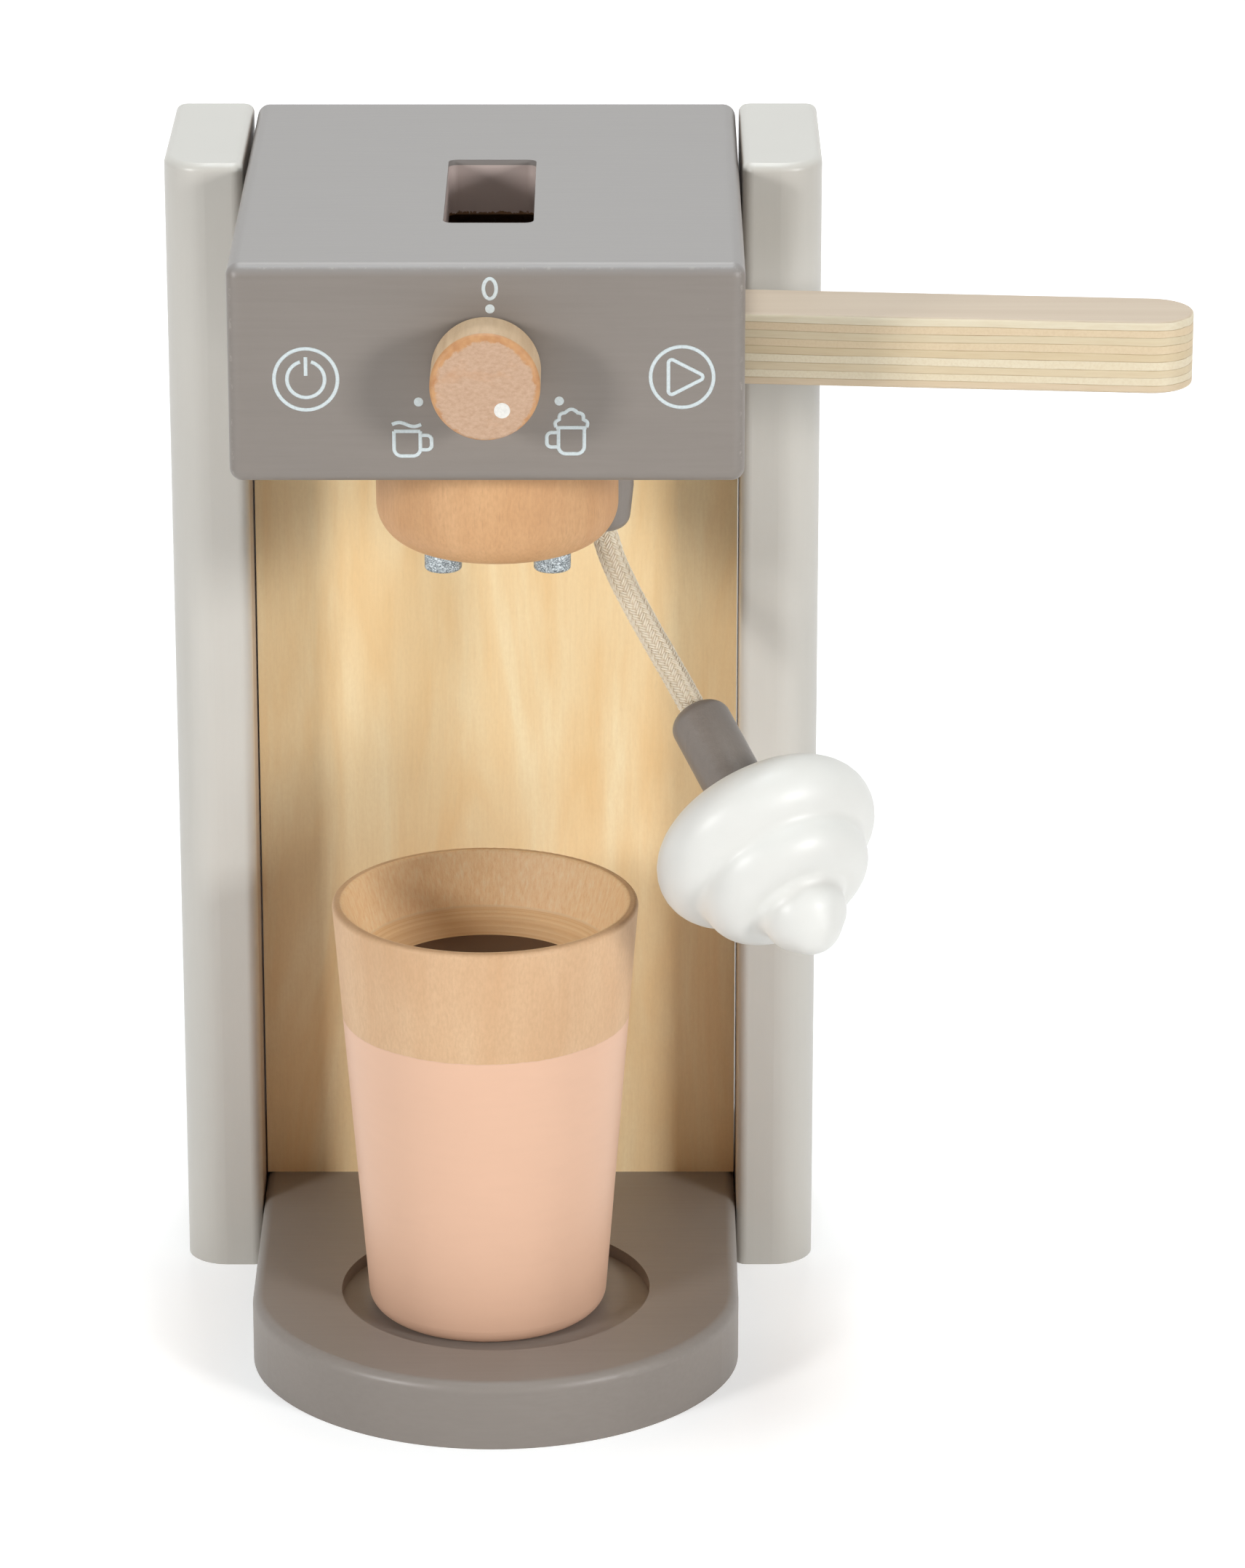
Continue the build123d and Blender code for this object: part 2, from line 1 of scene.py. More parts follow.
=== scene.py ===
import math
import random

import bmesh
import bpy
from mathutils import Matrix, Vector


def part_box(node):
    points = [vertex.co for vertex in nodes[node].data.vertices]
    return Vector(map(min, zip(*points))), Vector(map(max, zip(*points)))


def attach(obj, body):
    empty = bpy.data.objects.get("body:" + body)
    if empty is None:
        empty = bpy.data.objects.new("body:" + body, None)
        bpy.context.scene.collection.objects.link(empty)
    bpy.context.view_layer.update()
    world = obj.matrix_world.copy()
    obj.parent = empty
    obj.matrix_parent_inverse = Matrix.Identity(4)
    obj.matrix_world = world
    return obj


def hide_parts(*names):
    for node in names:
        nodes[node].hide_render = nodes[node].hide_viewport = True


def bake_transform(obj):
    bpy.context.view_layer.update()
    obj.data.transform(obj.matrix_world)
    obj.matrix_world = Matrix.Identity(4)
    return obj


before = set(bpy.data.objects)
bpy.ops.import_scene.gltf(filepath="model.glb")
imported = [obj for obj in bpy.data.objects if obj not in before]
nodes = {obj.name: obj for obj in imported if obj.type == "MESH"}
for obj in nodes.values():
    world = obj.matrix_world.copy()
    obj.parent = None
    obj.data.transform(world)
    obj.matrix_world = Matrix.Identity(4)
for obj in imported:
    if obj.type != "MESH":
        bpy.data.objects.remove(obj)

# %% [markdown]
# # A wooden play coffee machine
# The construction is already here: boards, knob, lever, brew head, cup and frother, each at its real
# size and place. These cells dress it. First come the camera, the light and the floor, then one
# finish after another, and last the pieces that the construction leaves plain: the turned foam, the
# braided rope and the figures that are printed on the front.

MM = 0.001
scene = bpy.context.scene
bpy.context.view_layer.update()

# %% [markdown]
# ## Camera
# The camera stands a metre and a half away and looks down on the toy a little, so that the top of
# the head and the inside of the cup show. From there a long lens fills the picture with the toy, and
# its upright boards stay nearly parallel.

# %% Camera
CAMERA_PLACE = Vector((28.2, -1454.1, 646.2)) * MM
CAMERA_AIM = Vector((29.0, 0.0, 120.7)) * MM
LENS_MM = 154.2

camera = bpy.data.objects.new("camera", bpy.data.cameras.new("camera"))
camera.location = CAMERA_PLACE
camera.rotation_euler = (CAMERA_AIM - CAMERA_PLACE).to_track_quat("-Z", "Y").to_euler()
camera.data.lens = LENS_MM
scene.collection.objects.link(camera)
scene.camera = camera
print("camera:", round((CAMERA_AIM - CAMERA_PLACE).length, 3), "m away, lens", LENS_MM, "mm")

# %% [markdown]
# ## Light
# Painted wood shows its form through soft light. Two square lamps stand low in front, one on each
# side, so that the light reaches in under the head and the side boards shade the back board from both
# sides. A third hangs above for the top of the head, and it is a little cooler, as daylight is. A
# fourth hangs behind, so that the back isn't dark. Each is wider than the toy, which gives shadows
# soft edges. The world adds an even white from all round, and the camera sees it as plain white.

# %% Lamps and world
scene.view_settings.view_transform = "Standard"
TOY_MIDDLE = Vector((0.02, -0.02, 0.13))
WORLD_LIGHT = 0.13


def soft_box(name, place, width, watts, colour=(1.0, 1.0, 1.0)):
    """A square lamp, width in metres, that shines at the middle of the toy."""
    lamp = bpy.data.objects.new(name, bpy.data.lights.new(name, "AREA"))
    lamp.data.shape = "SQUARE"
    lamp.data.size = width
    lamp.data.energy = watts
    lamp.data.color = colour
    lamp.location = place
    lamp.rotation_euler = (TOY_MIDDLE - Vector(place)).to_track_quat("-Z", "Y").to_euler()
    scene.collection.objects.link(lamp)


soft_box("left_box", (-1.05, -1.00, 0.60), width=0.30, watts=9.8)
soft_box("right_box", (1.05, -1.00, 0.56), width=0.30, watts=10.5)
soft_box("top_box", (0.0, 0.0, 1.50), width=0.55, watts=8.5, colour=(0.87, 0.96, 1.0))
soft_box("back_box", (0.0, 1.00, 1.50), width=0.40, watts=6.5)

world = bpy.data.worlds.new("studio")
world.use_nodes = True
scene.world = world


def node(tree, kind, inputs=None, **settings):
    """Add a shader node, set its options, and set or link its inputs."""
    made = tree.nodes.new("ShaderNode" + kind)
    for key, value in settings.items():
        setattr(made, key, value)
    for key, value in (inputs or {}).items():
        if isinstance(value, bpy.types.NodeSocket):
            tree.links.new(value, made.inputs[key])
        else:
            made.inputs[key].default_value = value
    return made


def maths(tree, operation, first, second=0.0):
    return node(tree, "Math", {0: first, 1: second}, operation=operation).outputs[0]


def plus(tree, first, second):
    return maths(tree, "ADD", first, second)


def minus(tree, first, second):
    return maths(tree, "SUBTRACT", first, second)


def times(tree, first, second):
    return maths(tree, "MULTIPLY", first, second)


def spread(tree, value, low, high, to_low=0.0, to_high=1.0):
    """Stretch one range of values to another, and clip it there."""
    inputs = {"Value": value, "From Min": low, "From Max": high, "To Min": to_low, "To Max": to_high}
    return node(tree, "MapRange", inputs).outputs[0]


def seen_directly(tree):
    """1 for what the camera sees straight on, in a gloss or through glass, and 0 for light on the toy."""
    path = node(tree, "LightPath").outputs
    straight_or_gloss = plus(tree, path["Is Camera Ray"], path["Is Glossy Ray"])
    any_of_them = plus(tree, straight_or_gloss, path["Is Transmission Ray"])
    return maths(tree, "MINIMUM", any_of_them, 1.0)


sky = world.node_tree
background = sky.nodes["Background"]
background.inputs["Color"].default_value = (1.0, 1.0, 1.0, 1.0)
sky.links.new(spread(sky, seen_directly(sky), 0.0, 1.0, WORLD_LIGHT, 1.0), background.inputs["Strength"])
print("light: four soft boxes and a world of", WORLD_LIGHT)

# %% [markdown]
# ## Floor
# The toy stands on a wide sheet of white paper, which fills the whole view. A real studio overexposes
# such a sheet. Here it glows for the camera alone: the paper then reads as plain white, no extra light
# falls on the toy, and the soft shadow at its feet stays. Far from the toy, where the lamps don't
# reach, it glows more, so that it stays white up to the horizon.

# %% Floor
FLOOR_SIZE = 12.0
NEAR, FAR = 0.22, 1.5  # distances from the toy's middle between which the glow grows
GLOW_NEAR, GLOW_FAR = 0.36, 0.90

floor_mesh = bmesh.new()
bmesh.ops.create_grid(floor_mesh, x_segments=8, y_segments=8, size=FLOOR_SIZE / 2)
floor = bpy.data.objects.new("floor", bpy.data.meshes.new("floor"))
floor_mesh.to_mesh(floor.data)
floor_mesh.free()
scene.collection.objects.link(floor)

floor_paper = bpy.data.materials.new("floor_paper")
floor_paper.use_nodes = True
tree = floor_paper.node_tree
paper = tree.nodes["Principled BSDF"]
paper.inputs["Base Color"].default_value = (0.88, 0.88, 0.88, 1.0)
paper.inputs["Roughness"].default_value = 0.9
paper.inputs["Emission Color"].default_value = (1.0, 1.0, 1.0, 1.0)
where = node(tree, "TexCoord").outputs["Object"]
away = node(tree, "VectorMath", {0: where}, operation="LENGTH").outputs["Value"]
glow = times(tree, seen_directly(tree), spread(tree, away, NEAR, FAR, GLOW_NEAR, GLOW_FAR))
tree.links.new(glow, paper.inputs["Emission Strength"])
floor.data.materials.append(floor_paper)
print("floor:", FLOOR_SIZE, "m wide")

# %% [markdown]
# ## Tools for finishes
# Every finish below is a small network of nodes on a Principled shader. A few helpers keep those
# networks short: one turns the colours of a paint card into light values, one stretches space along
# the grain of a board, one mixes two colours, one makes a ramp and one sprinkles rare specks.

# %% Helpers for finishes
def srgb(red, green, blue):
    """A colour from a paint card, 0 to 255, as the linear values that a shader takes."""
    values = [v / 255.0 for v in (red, green, blue)]
    return tuple(v / 12.92 if v <= 0.04045 else ((v + 0.055) / 1.055) ** 2.4 for v in values) + (1.0,)


def finish(name, **constants):
    """A new material with its Principled shader, and constants set on the shader's own sockets."""
    material = bpy.data.materials.new(name)
    material.use_nodes = True
    shader = material.node_tree.nodes["Principled BSDF"]
    for key, value in constants.items():
        shader.inputs[key.replace("_", " ")].default_value = value
    return material, material.node_tree, shader


def place(tree, turn=(0.0, 0.0, 0.0), stretch=(1.0, 1.0, 1.0), shift=(0.0, 0.0, 0.0)):
    """Object coordinates in metres, moved to a piece, turned and stretched along its grain."""
    where = node(tree, "TexCoord").outputs["Object"]
    centred = node(tree, "VectorMath", {0: where, 1: shift}, operation="SUBTRACT").outputs[0]
    return node(tree, "Mapping", {"Vector": centred, "Rotation": turn, "Scale": stretch}).outputs[0]


def noise(tree, vector, scale, detail=2.0, roughness=0.5, distortion=0.0):
    inputs = {"Vector": vector, "Scale": scale, "Detail": detail, "Roughness": roughness}
    return node(tree, "TexNoise", {**inputs, "Distortion": distortion}).outputs["Fac"]


def ramp(tree, value, stops, interpolation="LINEAR"):
    """A colour ramp: stops are pairs of a place from 0 to 1 and a colour."""
    made = node(tree, "ValToRGB", {"Fac": value})
    made.color_ramp.interpolation = interpolation
    elements = made.color_ramp.elements
    while len(elements) < len(stops):
        elements.new(0.5)
    for element, (where, colour) in zip(elements, stops):
        element.position = where
        element.color = colour
    return made.outputs["Color"]


def mix(tree, share, first, second):
    """Mix two colours by a share from 0 to 1. The Mix node keeps its colours in sockets 6 and 7."""
    return node(tree, "Mix", {0: share, 6: first, 7: second}, data_type="RGBA").outputs[2]


def shade(colour, factor):
    """The same colour, lighter or darker."""
    return tuple(min(1.0, c * factor) for c in colour[:3]) + (1.0,)


def mid(first, second):
    """The colour half way between two."""
    return tuple((a + b) / 2 for a, b in zip(first, second))


def apart(tree, first, second):
    """How far two values are from each other."""
    return maths(tree, "ABSOLUTE", minus(tree, first, second))


def length_of(tree, first, second):
    """The length of an arrow that goes so far one way and so far across it."""
    squares = plus(tree, times(tree, first, first), times(tree, second, second))
    return maths(tree, "SQRT", squares)


def specks(tree, scale, inner, outer, rarity, amount):
    """Round specks, amount in their middle and 0 round them, in the few cells that are above rarity."""
    cells = node(tree, "TexVoronoi", {"Vector": place(tree), "Scale": scale})
    small = spread(tree, cells.outputs["Distance"], inner, outer, 1.0, 0.0)
    chance = node(tree, "SeparateColor", {0: cells.outputs["Color"]}).outputs[0]
    rare = spread(tree, chance, rarity, rarity + 0.01)
    return times(tree, times(tree, small, rare), amount)


def bump(tree, shader, height, depth, strength=1.0):
    """Raise the surface by a height map: depth is in metres."""
    made = node(tree, "Bump", {"Height": height, "Distance": depth, "Strength": strength})
    tree.links.new(made.outputs["Normal"], shader.inputs["Normal"])


def put_on(material, *names):
    """Give a finish to construction nodes, in place of the plain one they came with."""
    for name in names:
        nodes[name].data.materials.clear()
        nodes[name].data.materials.append(material)


print("helpers for finishes are ready")

# %% [markdown]
# ## Paint
# The boards are sprayed with satin paint over sanded wood. Such paint is almost one colour, but the
# grain still telegraphs through it as faint lines along the board, the film has a fine orange peel,
# a few specks of dust stick in it, and sharp edges are rubbed lighter. The helper takes the board's
# colour and the direction of its grain. Rubbed edges are given as lines in space: the distance to a
# line, broken up by noise, says where the paint is worn.

# %% Paint
GRAIN_ALONG = {"X": (0.05, 1.0, 1.0), "Y": (1.0, 0.05, 1.0), "Z": (1.0, 1.0, 0.05)}
TAUPE = srgb(136, 128, 121)
PANEL_GREY = srgb(207, 203, 195)
COFFEE = srgb(92, 66, 50)
RUBBED_EDGE = srgb(205, 196, 184)
# a paler, cooler grey: painted light from above on the head's top face
PAINTED_TOP_LIGHT = srgb(151, 149, 149)
# paler walls inside the coffee slot: painted light where the lamps barely reach
SLOT_PAINTED_LIGHT = srgb(200, 184, 178)
# darker, browner inner faces of the side panels: painted shade by the back panel
INNER_PAINTED_SHADE = srgb(184, 170, 158)
SAWN_DARK, SAWN_LIGHT = srgb(104, 74, 50), srgb(142, 106, 74)


def line_distance(tree, first_axis, first, second_axis, second):
    """Distance in metres from a straight edge that runs along the third axis."""
    where = node(tree, "SeparateXYZ", {0: node(tree, "TexCoord").outputs["Object"]}).outputs
    return length_of(tree, minus(tree, where[first_axis], first), minus(tree, where[second_axis], second))


def inside_of(tree, low, high, fray=0.0):
    """1 inside a box and 0 outside it. With a fray, in metres, the border is ragged by that much."""
    where = node(tree, "TexCoord").outputs["Object"]
    past_low = node(tree, "VectorMath", {0: where, 1: low}, operation="SUBTRACT").outputs[0]
    before_high = node(tree, "VectorMath", {0: high, 1: where}, operation="SUBTRACT").outputs[0]
    nearest = node(tree, "VectorMath", {0: past_low, 1: before_high}, operation="MINIMUM").outputs[0]
    parts = node(tree, "SeparateXYZ", {0: nearest}).outputs
    depth = maths(tree, "MINIMUM", maths(tree, "MINIMUM", parts[0], parts[1]), parts[2])
    if fray:
        ragged = spread(tree, noise(tree, where, 700.0, 4.0, 0.7), 0.3, 0.7, 0.0, fray)
        depth = plus(tree, depth, ragged)
    return spread(tree, depth, 0.0, 0.12 * MM)


def paint(
    name,
    colour,
    grain,
    grain_depth=0.03 * MM,
    streak=0.42,
    peel=1400.0,
    roughness=0.42,
    dust=0.35,
    rubbed=(),
    lit_top_height=None,
    slot=None,
    inner=None,
    hollow=None,
):
    """Satin spray paint on a sanded board whose grain runs along one axis.

    It is thin along the rubbed edges and missing in the box of a hollow, where the sawn wood is bare.
    Near the lit top height it is mixed towards a paler, cooler grey, as painted light from above; inside
    a slot's box it is paler, as painted light in the slot; on the inner faces in a box it is darker, as
    painted shade.
    """
    material, tree, shader = finish(name, Specular_IOR_Level=0.5)
    anywhere = place(tree)
    board = place(tree, stretch=GRAIN_ALONG[grain])
    cloud = noise(tree, anywhere, 14.0, 3.0)
    lines = noise(tree, board, 900.0, 4.0, 0.6)
    base = ramp(tree, cloud, [(0.25, shade(colour, 0.955)), (0.75, shade(colour, 1.035))])
    base = mix(tree, spread(tree, lines, 0.35, 0.75, 0.0, streak), base, shade(colour, 0.86))
    base = mix(tree, specks(tree, 170.0, 0.020, 0.045, 0.93, dust), base, shade(colour, 1.45))
    for edge, wear in rubbed:
        near = spread(tree, line_distance(tree, *edge), 0.1 * MM, 0.55 * MM, 1.0, 0.0)
        broken = spread(tree, noise(tree, anywhere, 420.0, 6.0, 0.75), 0.53, 0.64, 0.0, wear)
        base = mix(tree, times(tree, near, broken), base, RUBBED_EDGE)
    # Painted light: near the top face the paint is mixed half way to a paler, cooler grey, standing in for
    # the light from above.
    if lit_top_height:
        height = node(tree, "SeparateXYZ", {0: anywhere}).outputs[2]
        top_light_share = spread(tree, height, lit_top_height - 2.5 * MM, lit_top_height - 0.6 * MM, 0.0, 0.5)
        base = mix(tree, top_light_share, base, PAINTED_TOP_LIGHT)
    # Painted light: the slot's walls are made paler, standing in for light that doesn't reach into the slot.
    if slot:
        base = mix(tree, inside_of(tree, *slot), base, SLOT_PAINTED_LIGHT)
    # Painted shade: inner faces in this box are made darker and browner, standing in for the shade of the gap
    # at the back panel.
    if inner:
        base = mix(tree, inside_of(tree, *inner), base, INNER_PAINTED_SHADE)
    if hollow:
        fibres = noise(tree, board, 700.0, 5.0, 0.7)
        bare = ramp(tree, fibres, [(0.3, SAWN_DARK), (0.7, SAWN_LIGHT)])
        base = mix(tree, inside_of(tree, *hollow, fray=1.1 * MM), base, bare)
    tree.links.new(base, shader.inputs["Base Color"])
    satin = spread(tree, cloud, 0.2, 0.8, roughness - 0.05, roughness + 0.06)
    tree.links.new(satin, shader.inputs["Roughness"])
    orange_peel = noise(tree, anywhere, peel, 2.0)
    bump(tree, shader, plus(tree, lines, times(tree, orange_peel, 0.5)), grain_depth, 0.6)
    return material


head_low, head_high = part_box("head_top")
wall_low, wall_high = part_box("head_front")
floor_low, floor_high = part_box("head_floor")
left_low, left_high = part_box("side_panel_left")
right_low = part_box("side_panel_right")[0]
front_y, top_z = head_low.y, head_high.z
CROWN = 0.8 * MM  # from a sharp corner in to the crown of its rounding

top_edge = ("Y", front_y + CROWN, "Z", top_z - CROWN)
left_edge = ("X", wall_low.x + CROWN, "Y", front_y + CROWN)
right_edge = ("X", wall_high.x - CROWN, "Y", front_y + CROWN)
rubbed_edges = ((top_edge, 0.42), (left_edge, 0.25), (right_edge, 0.35))
head_hollow = ((floor_low.x, floor_low.y, floor_high.z), (floor_high.x, floor_high.y, head_low.z))
# The box of the coffee slot, whose walls get painted light.
coffee_slot = (Vector((-10.5, -50.5, 240.0)) * MM, Vector((10.5, 5.5, top_z / MM - 1.2)) * MM)
# The inner faces of the side panels, from 5 mm behind their front, which get painted shade.
shaded_bay = (
    (left_high.x - 0.3 * MM, left_low.y + 5.0 * MM, left_low.z - MM),
    (right_low.x + 0.3 * MM, left_high.y + MM, left_high.z),
)

head_paint_and_painted_light = paint(
    "taupe_paint_head_and_painted_light",
    TAUPE,
    "X",
    grain_depth=0.04 * MM,
    rubbed=rubbed_edges,
    lit_top_height=top_z,
    slot=coffee_slot,
    hollow=head_hollow,
)
# Painted light: the base has the head's taupe made 12% lighter, standing in for more light on its front.
lightened_base_paint = paint("taupe_paint_base_painted_light", shade(TAUPE, 1.12), "X", grain_depth=0.02 * MM)
turned_paint = paint("taupe_paint_turned", TAUPE, "Z", grain_depth=0.22 * MM, peel=620.0)
panel_paint_and_painted_shade = paint(
    "grey_paint_panels_and_painted_shade",
    PANEL_GREY,
    "Z",
    grain_depth=0.01 * MM,
    streak=0.10,
    roughness=0.36,
    dust=0.15,
    inner=shaded_bay,
)
put_on(head_paint_and_painted_light, "head_top", "head_front", "head_back", "head_side_left", "head_side_right", "head_floor")
put_on(lightened_base_paint, "base_plate")
put_on(turned_paint, "frother_holder", "frother_handle")
put_on(panel_paint_and_painted_shade, "side_panel_left", "side_panel_right")
print("paint: taupe on the head, base and frother, light grey on the side panels")

# %% [markdown]
# ## Bare wood
# The knob, the brew head, the cup's rim and the back panel are bare wood under a thin matt varnish.
# Wood has three scales of pattern, all drawn out along the grain: broad soft streaks where the tree
# grew faster or slower, fine fibres, and short dark pores. Each is a noise that is squeezed along the
# grain. Because the noise fills space, an end-grain face shows the same fibres cut across, as dots.

# %% Bare wood
PIN_KNOT = srgb(110, 70, 44)


def wood(name, light, dark, grain, streak_mm, fleck=0.5, stretch=0.06, mottle=0.3, waver=0.35):
    """Bare wood: light and dark are its two colours, streak_mm the width of its broad streaks.

    fleck says how dark its pores are, stretch how long its streaks run, mottle how strong its short
    flakes are, and waver how much the streaks wander.
    """
    material, tree, shader = finish(name, Specular_IOR_Level=0.35)

    def squeezed(share):
        return place(tree, stretch=[share if axis == grain else 1.0 for axis in "XYZ"])

    broad = noise(tree, squeezed(stretch), 1000.0 / streak_mm, 3.0, 0.55, waver)
    fibre = noise(tree, squeezed(0.05), 1900.0, 3.0, 0.6)
    pore = noise(tree, squeezed(0.12), 2600.0, 2.0, 0.5)
    flakes = noise(tree, squeezed(0.45), 1500.0, 3.0, 0.65)
    cloud = noise(tree, place(tree), 35.0, 2.0)
    base = ramp(tree, broad, [(0.30, dark), (0.52, mid(light, dark)), (0.72, light)])
    base = mix(tree, spread(tree, cloud, 0.35, 0.7, 0.0, 0.22), base, shade(dark, 0.96))
    base = mix(tree, spread(tree, flakes, 0.38, 0.66, 0.0, mottle), base, shade(dark, 0.84))
    base = mix(tree, spread(tree, fibre, 0.38, 0.70, 0.0, 0.16), base, shade(dark, 0.86))
    base = mix(tree, spread(tree, pore, 0.60, 0.72, 0.0, fleck), base, shade(dark, 0.62))
    base = mix(tree, specks(tree, 75.0, 0.016, 0.032, 0.95, 0.6), base, PIN_KNOT)
    tree.links.new(base, shader.inputs["Base Color"])
    tree.links.new(spread(tree, fibre, 0.3, 0.7, 0.45, 0.60), shader.inputs["Roughness"])
    bump(tree, shader, plus(tree, fibre, times(tree, pore, 0.6)), 0.04 * MM, 0.5)
    return material, tree, shader, base


BEECH_LIGHT, BEECH_DARK = srgb(225, 180, 133), srgb(206, 156, 109)
POPLAR_LIGHT, POPLAR_DARK = srgb(254, 236, 194), srgb(244, 210, 156)

BEECH = {"fleck": 0.22, "stretch": 0.22, "mottle": 0.36}
POPLAR = {"fleck": 0.06, "stretch": 0.13, "mottle": 0.16, "waver": 2.0}
put_on(wood("beech_brew_head", BEECH_LIGHT, BEECH_DARK, "Z", 11.0, **BEECH)[0], "brew_head")
put_on(wood("poplar_back", POPLAR_LIGHT, POPLAR_DARK, "Z", 17.0, **POPLAR)[0], "back_panel")
inner_wood = wood("beech_inside", srgb(196, 160, 120), srgb(170, 130, 92), "X", 8.0, 0.4)[0]
put_on(inner_wood, "base_dowels", "head_dowels", "back_panel_dowels", "knob_axle", "knob_retainer")
put_on(inner_wood, "lever_pivot", "lever_washer", "lever_spacer", "frother_pin")
print("bare wood: beech on the brew head, poplar on the back panel, plain beech inside")

# %% [markdown]
# ## Knob
# The knob is a slice of a dowel, so its front is end grain and its side is long grain. Sanding on a
# spinning disc has burnished its front edge brown. The distance from the knob's axis gives that ring,
# and noise keeps it uneven. The white dot that shows where the knob points is a drop of paint.

# %% Knob
knob_low, knob_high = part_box("knob")
knob_axis = (knob_low + knob_high) / 2
knob_radius = (knob_high.x - knob_low.x) / 2
knob_half_length = (knob_high.y - knob_low.y) / 2


def knob_finish():
    material, tree, shader = finish("beech_knob", Specular_IOR_Level=0.35)
    anywhere = place(tree)
    x, y, z = node(tree, "SeparateXYZ", {0: place(tree, shift=tuple(knob_axis))}).outputs
    slanted = place(tree, turn=(0.0, math.radians(-35.0), 0.0), stretch=(0.6, 1.0, 1.0))
    mottle = noise(tree, slanted, 1500.0, 5.0, 0.7)
    colours = [(0.32, srgb(188, 153, 125)), (0.5, srgb(198, 164, 137)), (0.68, srgb(207, 175, 149))]
    end_grain = ramp(tree, mottle, colours)
    patches = spread(tree, noise(tree, slanted, 210.0, 4.0, 0.6), 0.54, 0.72, 0.0, 0.4)
    end_grain = mix(tree, patches, end_grain, srgb(204, 154, 114))
    ragged = spread(tree, noise(tree, anywhere, 330.0, 5.0, 0.75), 0.3, 0.7, -0.9 * MM, 0.7 * MM)
    wider_above = times(tree, z, 0.07)
    reach = plus(tree, length_of(tree, x, z), plus(tree, ragged, wider_above))
    ring = spread(tree, reach, knob_radius - 1.5 * MM, knob_radius - 0.9 * MM, 0.0, 0.85)
    scorch = noise(tree, anywhere, 520.0, 3.0)
    burnished = ramp(tree, scorch, [(0.3, srgb(186, 128, 78)), (0.7, srgb(208, 156, 104))])
    front = mix(tree, ring, end_grain, burnished)
    streaks = noise(tree, place(tree, stretch=(1.0, 0.08, 1.0)), 620.0, 3.0, 0.6)
    long_grain = ramp(tree, streaks, [(0.3, srgb(194, 164, 130)), (0.7, srgb(210, 182, 148))])
    side = spread(tree, y, 0.8 * MM - knob_half_length, 1.5 * MM - knob_half_length)
    tree.links.new(mix(tree, side, front, long_grain), shader.inputs["Base Color"])
    tree.links.new(spread(tree, mottle, 0.3, 0.7, 0.45, 0.60), shader.inputs["Roughness"])
    bump(tree, shader, mottle, 0.03 * MM, 0.4)
    return material


put_on(knob_finish(), "knob")
print("knob: radius", round(knob_radius / MM, 1), "mm, burnished front edge")

# %% [markdown]
# ## Plywood lever
# The lever is sawn from plywood, so its long edges show the plies: thin sheets whose grain runs along
# the lever and across it by turns. A ramp over the height of the lever gives the plies their colours.
# Glue lines are thin dark bands between them. Plies that are cut along their fibres look streaky, and
# plies that are cut across look dotted, which two noises with different stretches give.

# %% Plywood lever
PLIES = [
    srgb(216, 196, 168),
    srgb(228, 216, 190),
    srgb(218, 201, 170),
    srgb(229, 217, 191),
    srgb(215, 196, 162),
    srgb(221, 201, 169),
    srgb(217, 202, 172),
    srgb(221, 200, 168),
    srgb(226, 215, 190),
]
LEVER_TURN = math.radians(4.8)  # how far the resting lever points forward
lever_low, lever_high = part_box("lever")


def plywood():
    material, tree, shader = finish("plywood_lever", Specular_IOR_Level=0.35, Roughness=0.52)
    along = place(tree, turn=(0.0, 0.0, LEVER_TURN), stretch=(0.03, 1.0, 1.0))
    wobble = spread(tree, noise(tree, along, 120.0, 2.0), 0.3, 0.7, -0.35 * MM, 0.35 * MM)
    height = node(tree, "SeparateXYZ", {0: place(tree)}).outputs[2]
    share = spread(tree, plus(tree, height, wobble), lever_low.z, lever_high.z)
    count = len(PLIES)
    bands = ramp(tree, share, [(i / count, colour) for i, colour in enumerate(PLIES)], "CONSTANT")
    ply = times(tree, share, float(count))
    glue = spread(tree, apart(tree, maths(tree, "FRACT", ply), 0.5), 0.43, 0.49)
    odd = maths(tree, "FLOORED_MODULO", maths(tree, "FLOOR", ply), 2.0)
    streaks = noise(tree, along, 1500.0, 4.0, 0.65)
    dots = noise(tree, place(tree, stretch=(1.0, 0.05, 1.0)), 1900.0, 3.0, 0.6)
    pattern = node(tree, "Mix", {0: odd, 2: streaks, 3: dots}).outputs[0]
    base = mix(tree, spread(tree, pattern, 0.42, 0.72, 0.0, 0.24), bands, srgb(196, 168, 126))
    broad = noise(tree, along, 160.0, 4.0, 0.6)
    base = mix(tree, spread(tree, broad, 0.48, 0.72, 0.0, 0.30), base, srgb(222, 202, 164))
    broken = spread(tree, noise(tree, along, 520.0, 4.0, 0.7), 0.36, 0.62, 0.25, 0.9)
    base = mix(tree, times(tree, glue, broken), base, srgb(162, 134, 96))
    normal = node(tree, "SeparateXYZ", {0: node(tree, "NewGeometry").outputs["Normal"]})
    facing_up = spread(tree, normal.outputs[2], 0.6, 0.9)
    veneer = ramp(tree, broad, [(0.3, srgb(200, 180, 158)), (0.7, srgb(210, 192, 170))])
    tree.links.new(mix(tree, facing_up, base, veneer), shader.inputs["Base Color"])
    bump(tree, shader, minus(tree, pattern, glue), 0.05 * MM, 0.5)
    return material


put_on(plywood(), "lever")
print("lever:", len(PLIES), "plies over", round((lever_high.z - lever_low.z) / MM, 1), "mm")

# %% [markdown]
# ## Silver spouts
# The two streams of coffee are dowels dipped in silver glitter. Glitter is flakes of foil that lie at
# every angle, so each cell of a fine Voronoi pattern gets its own brightness and its own tilt.

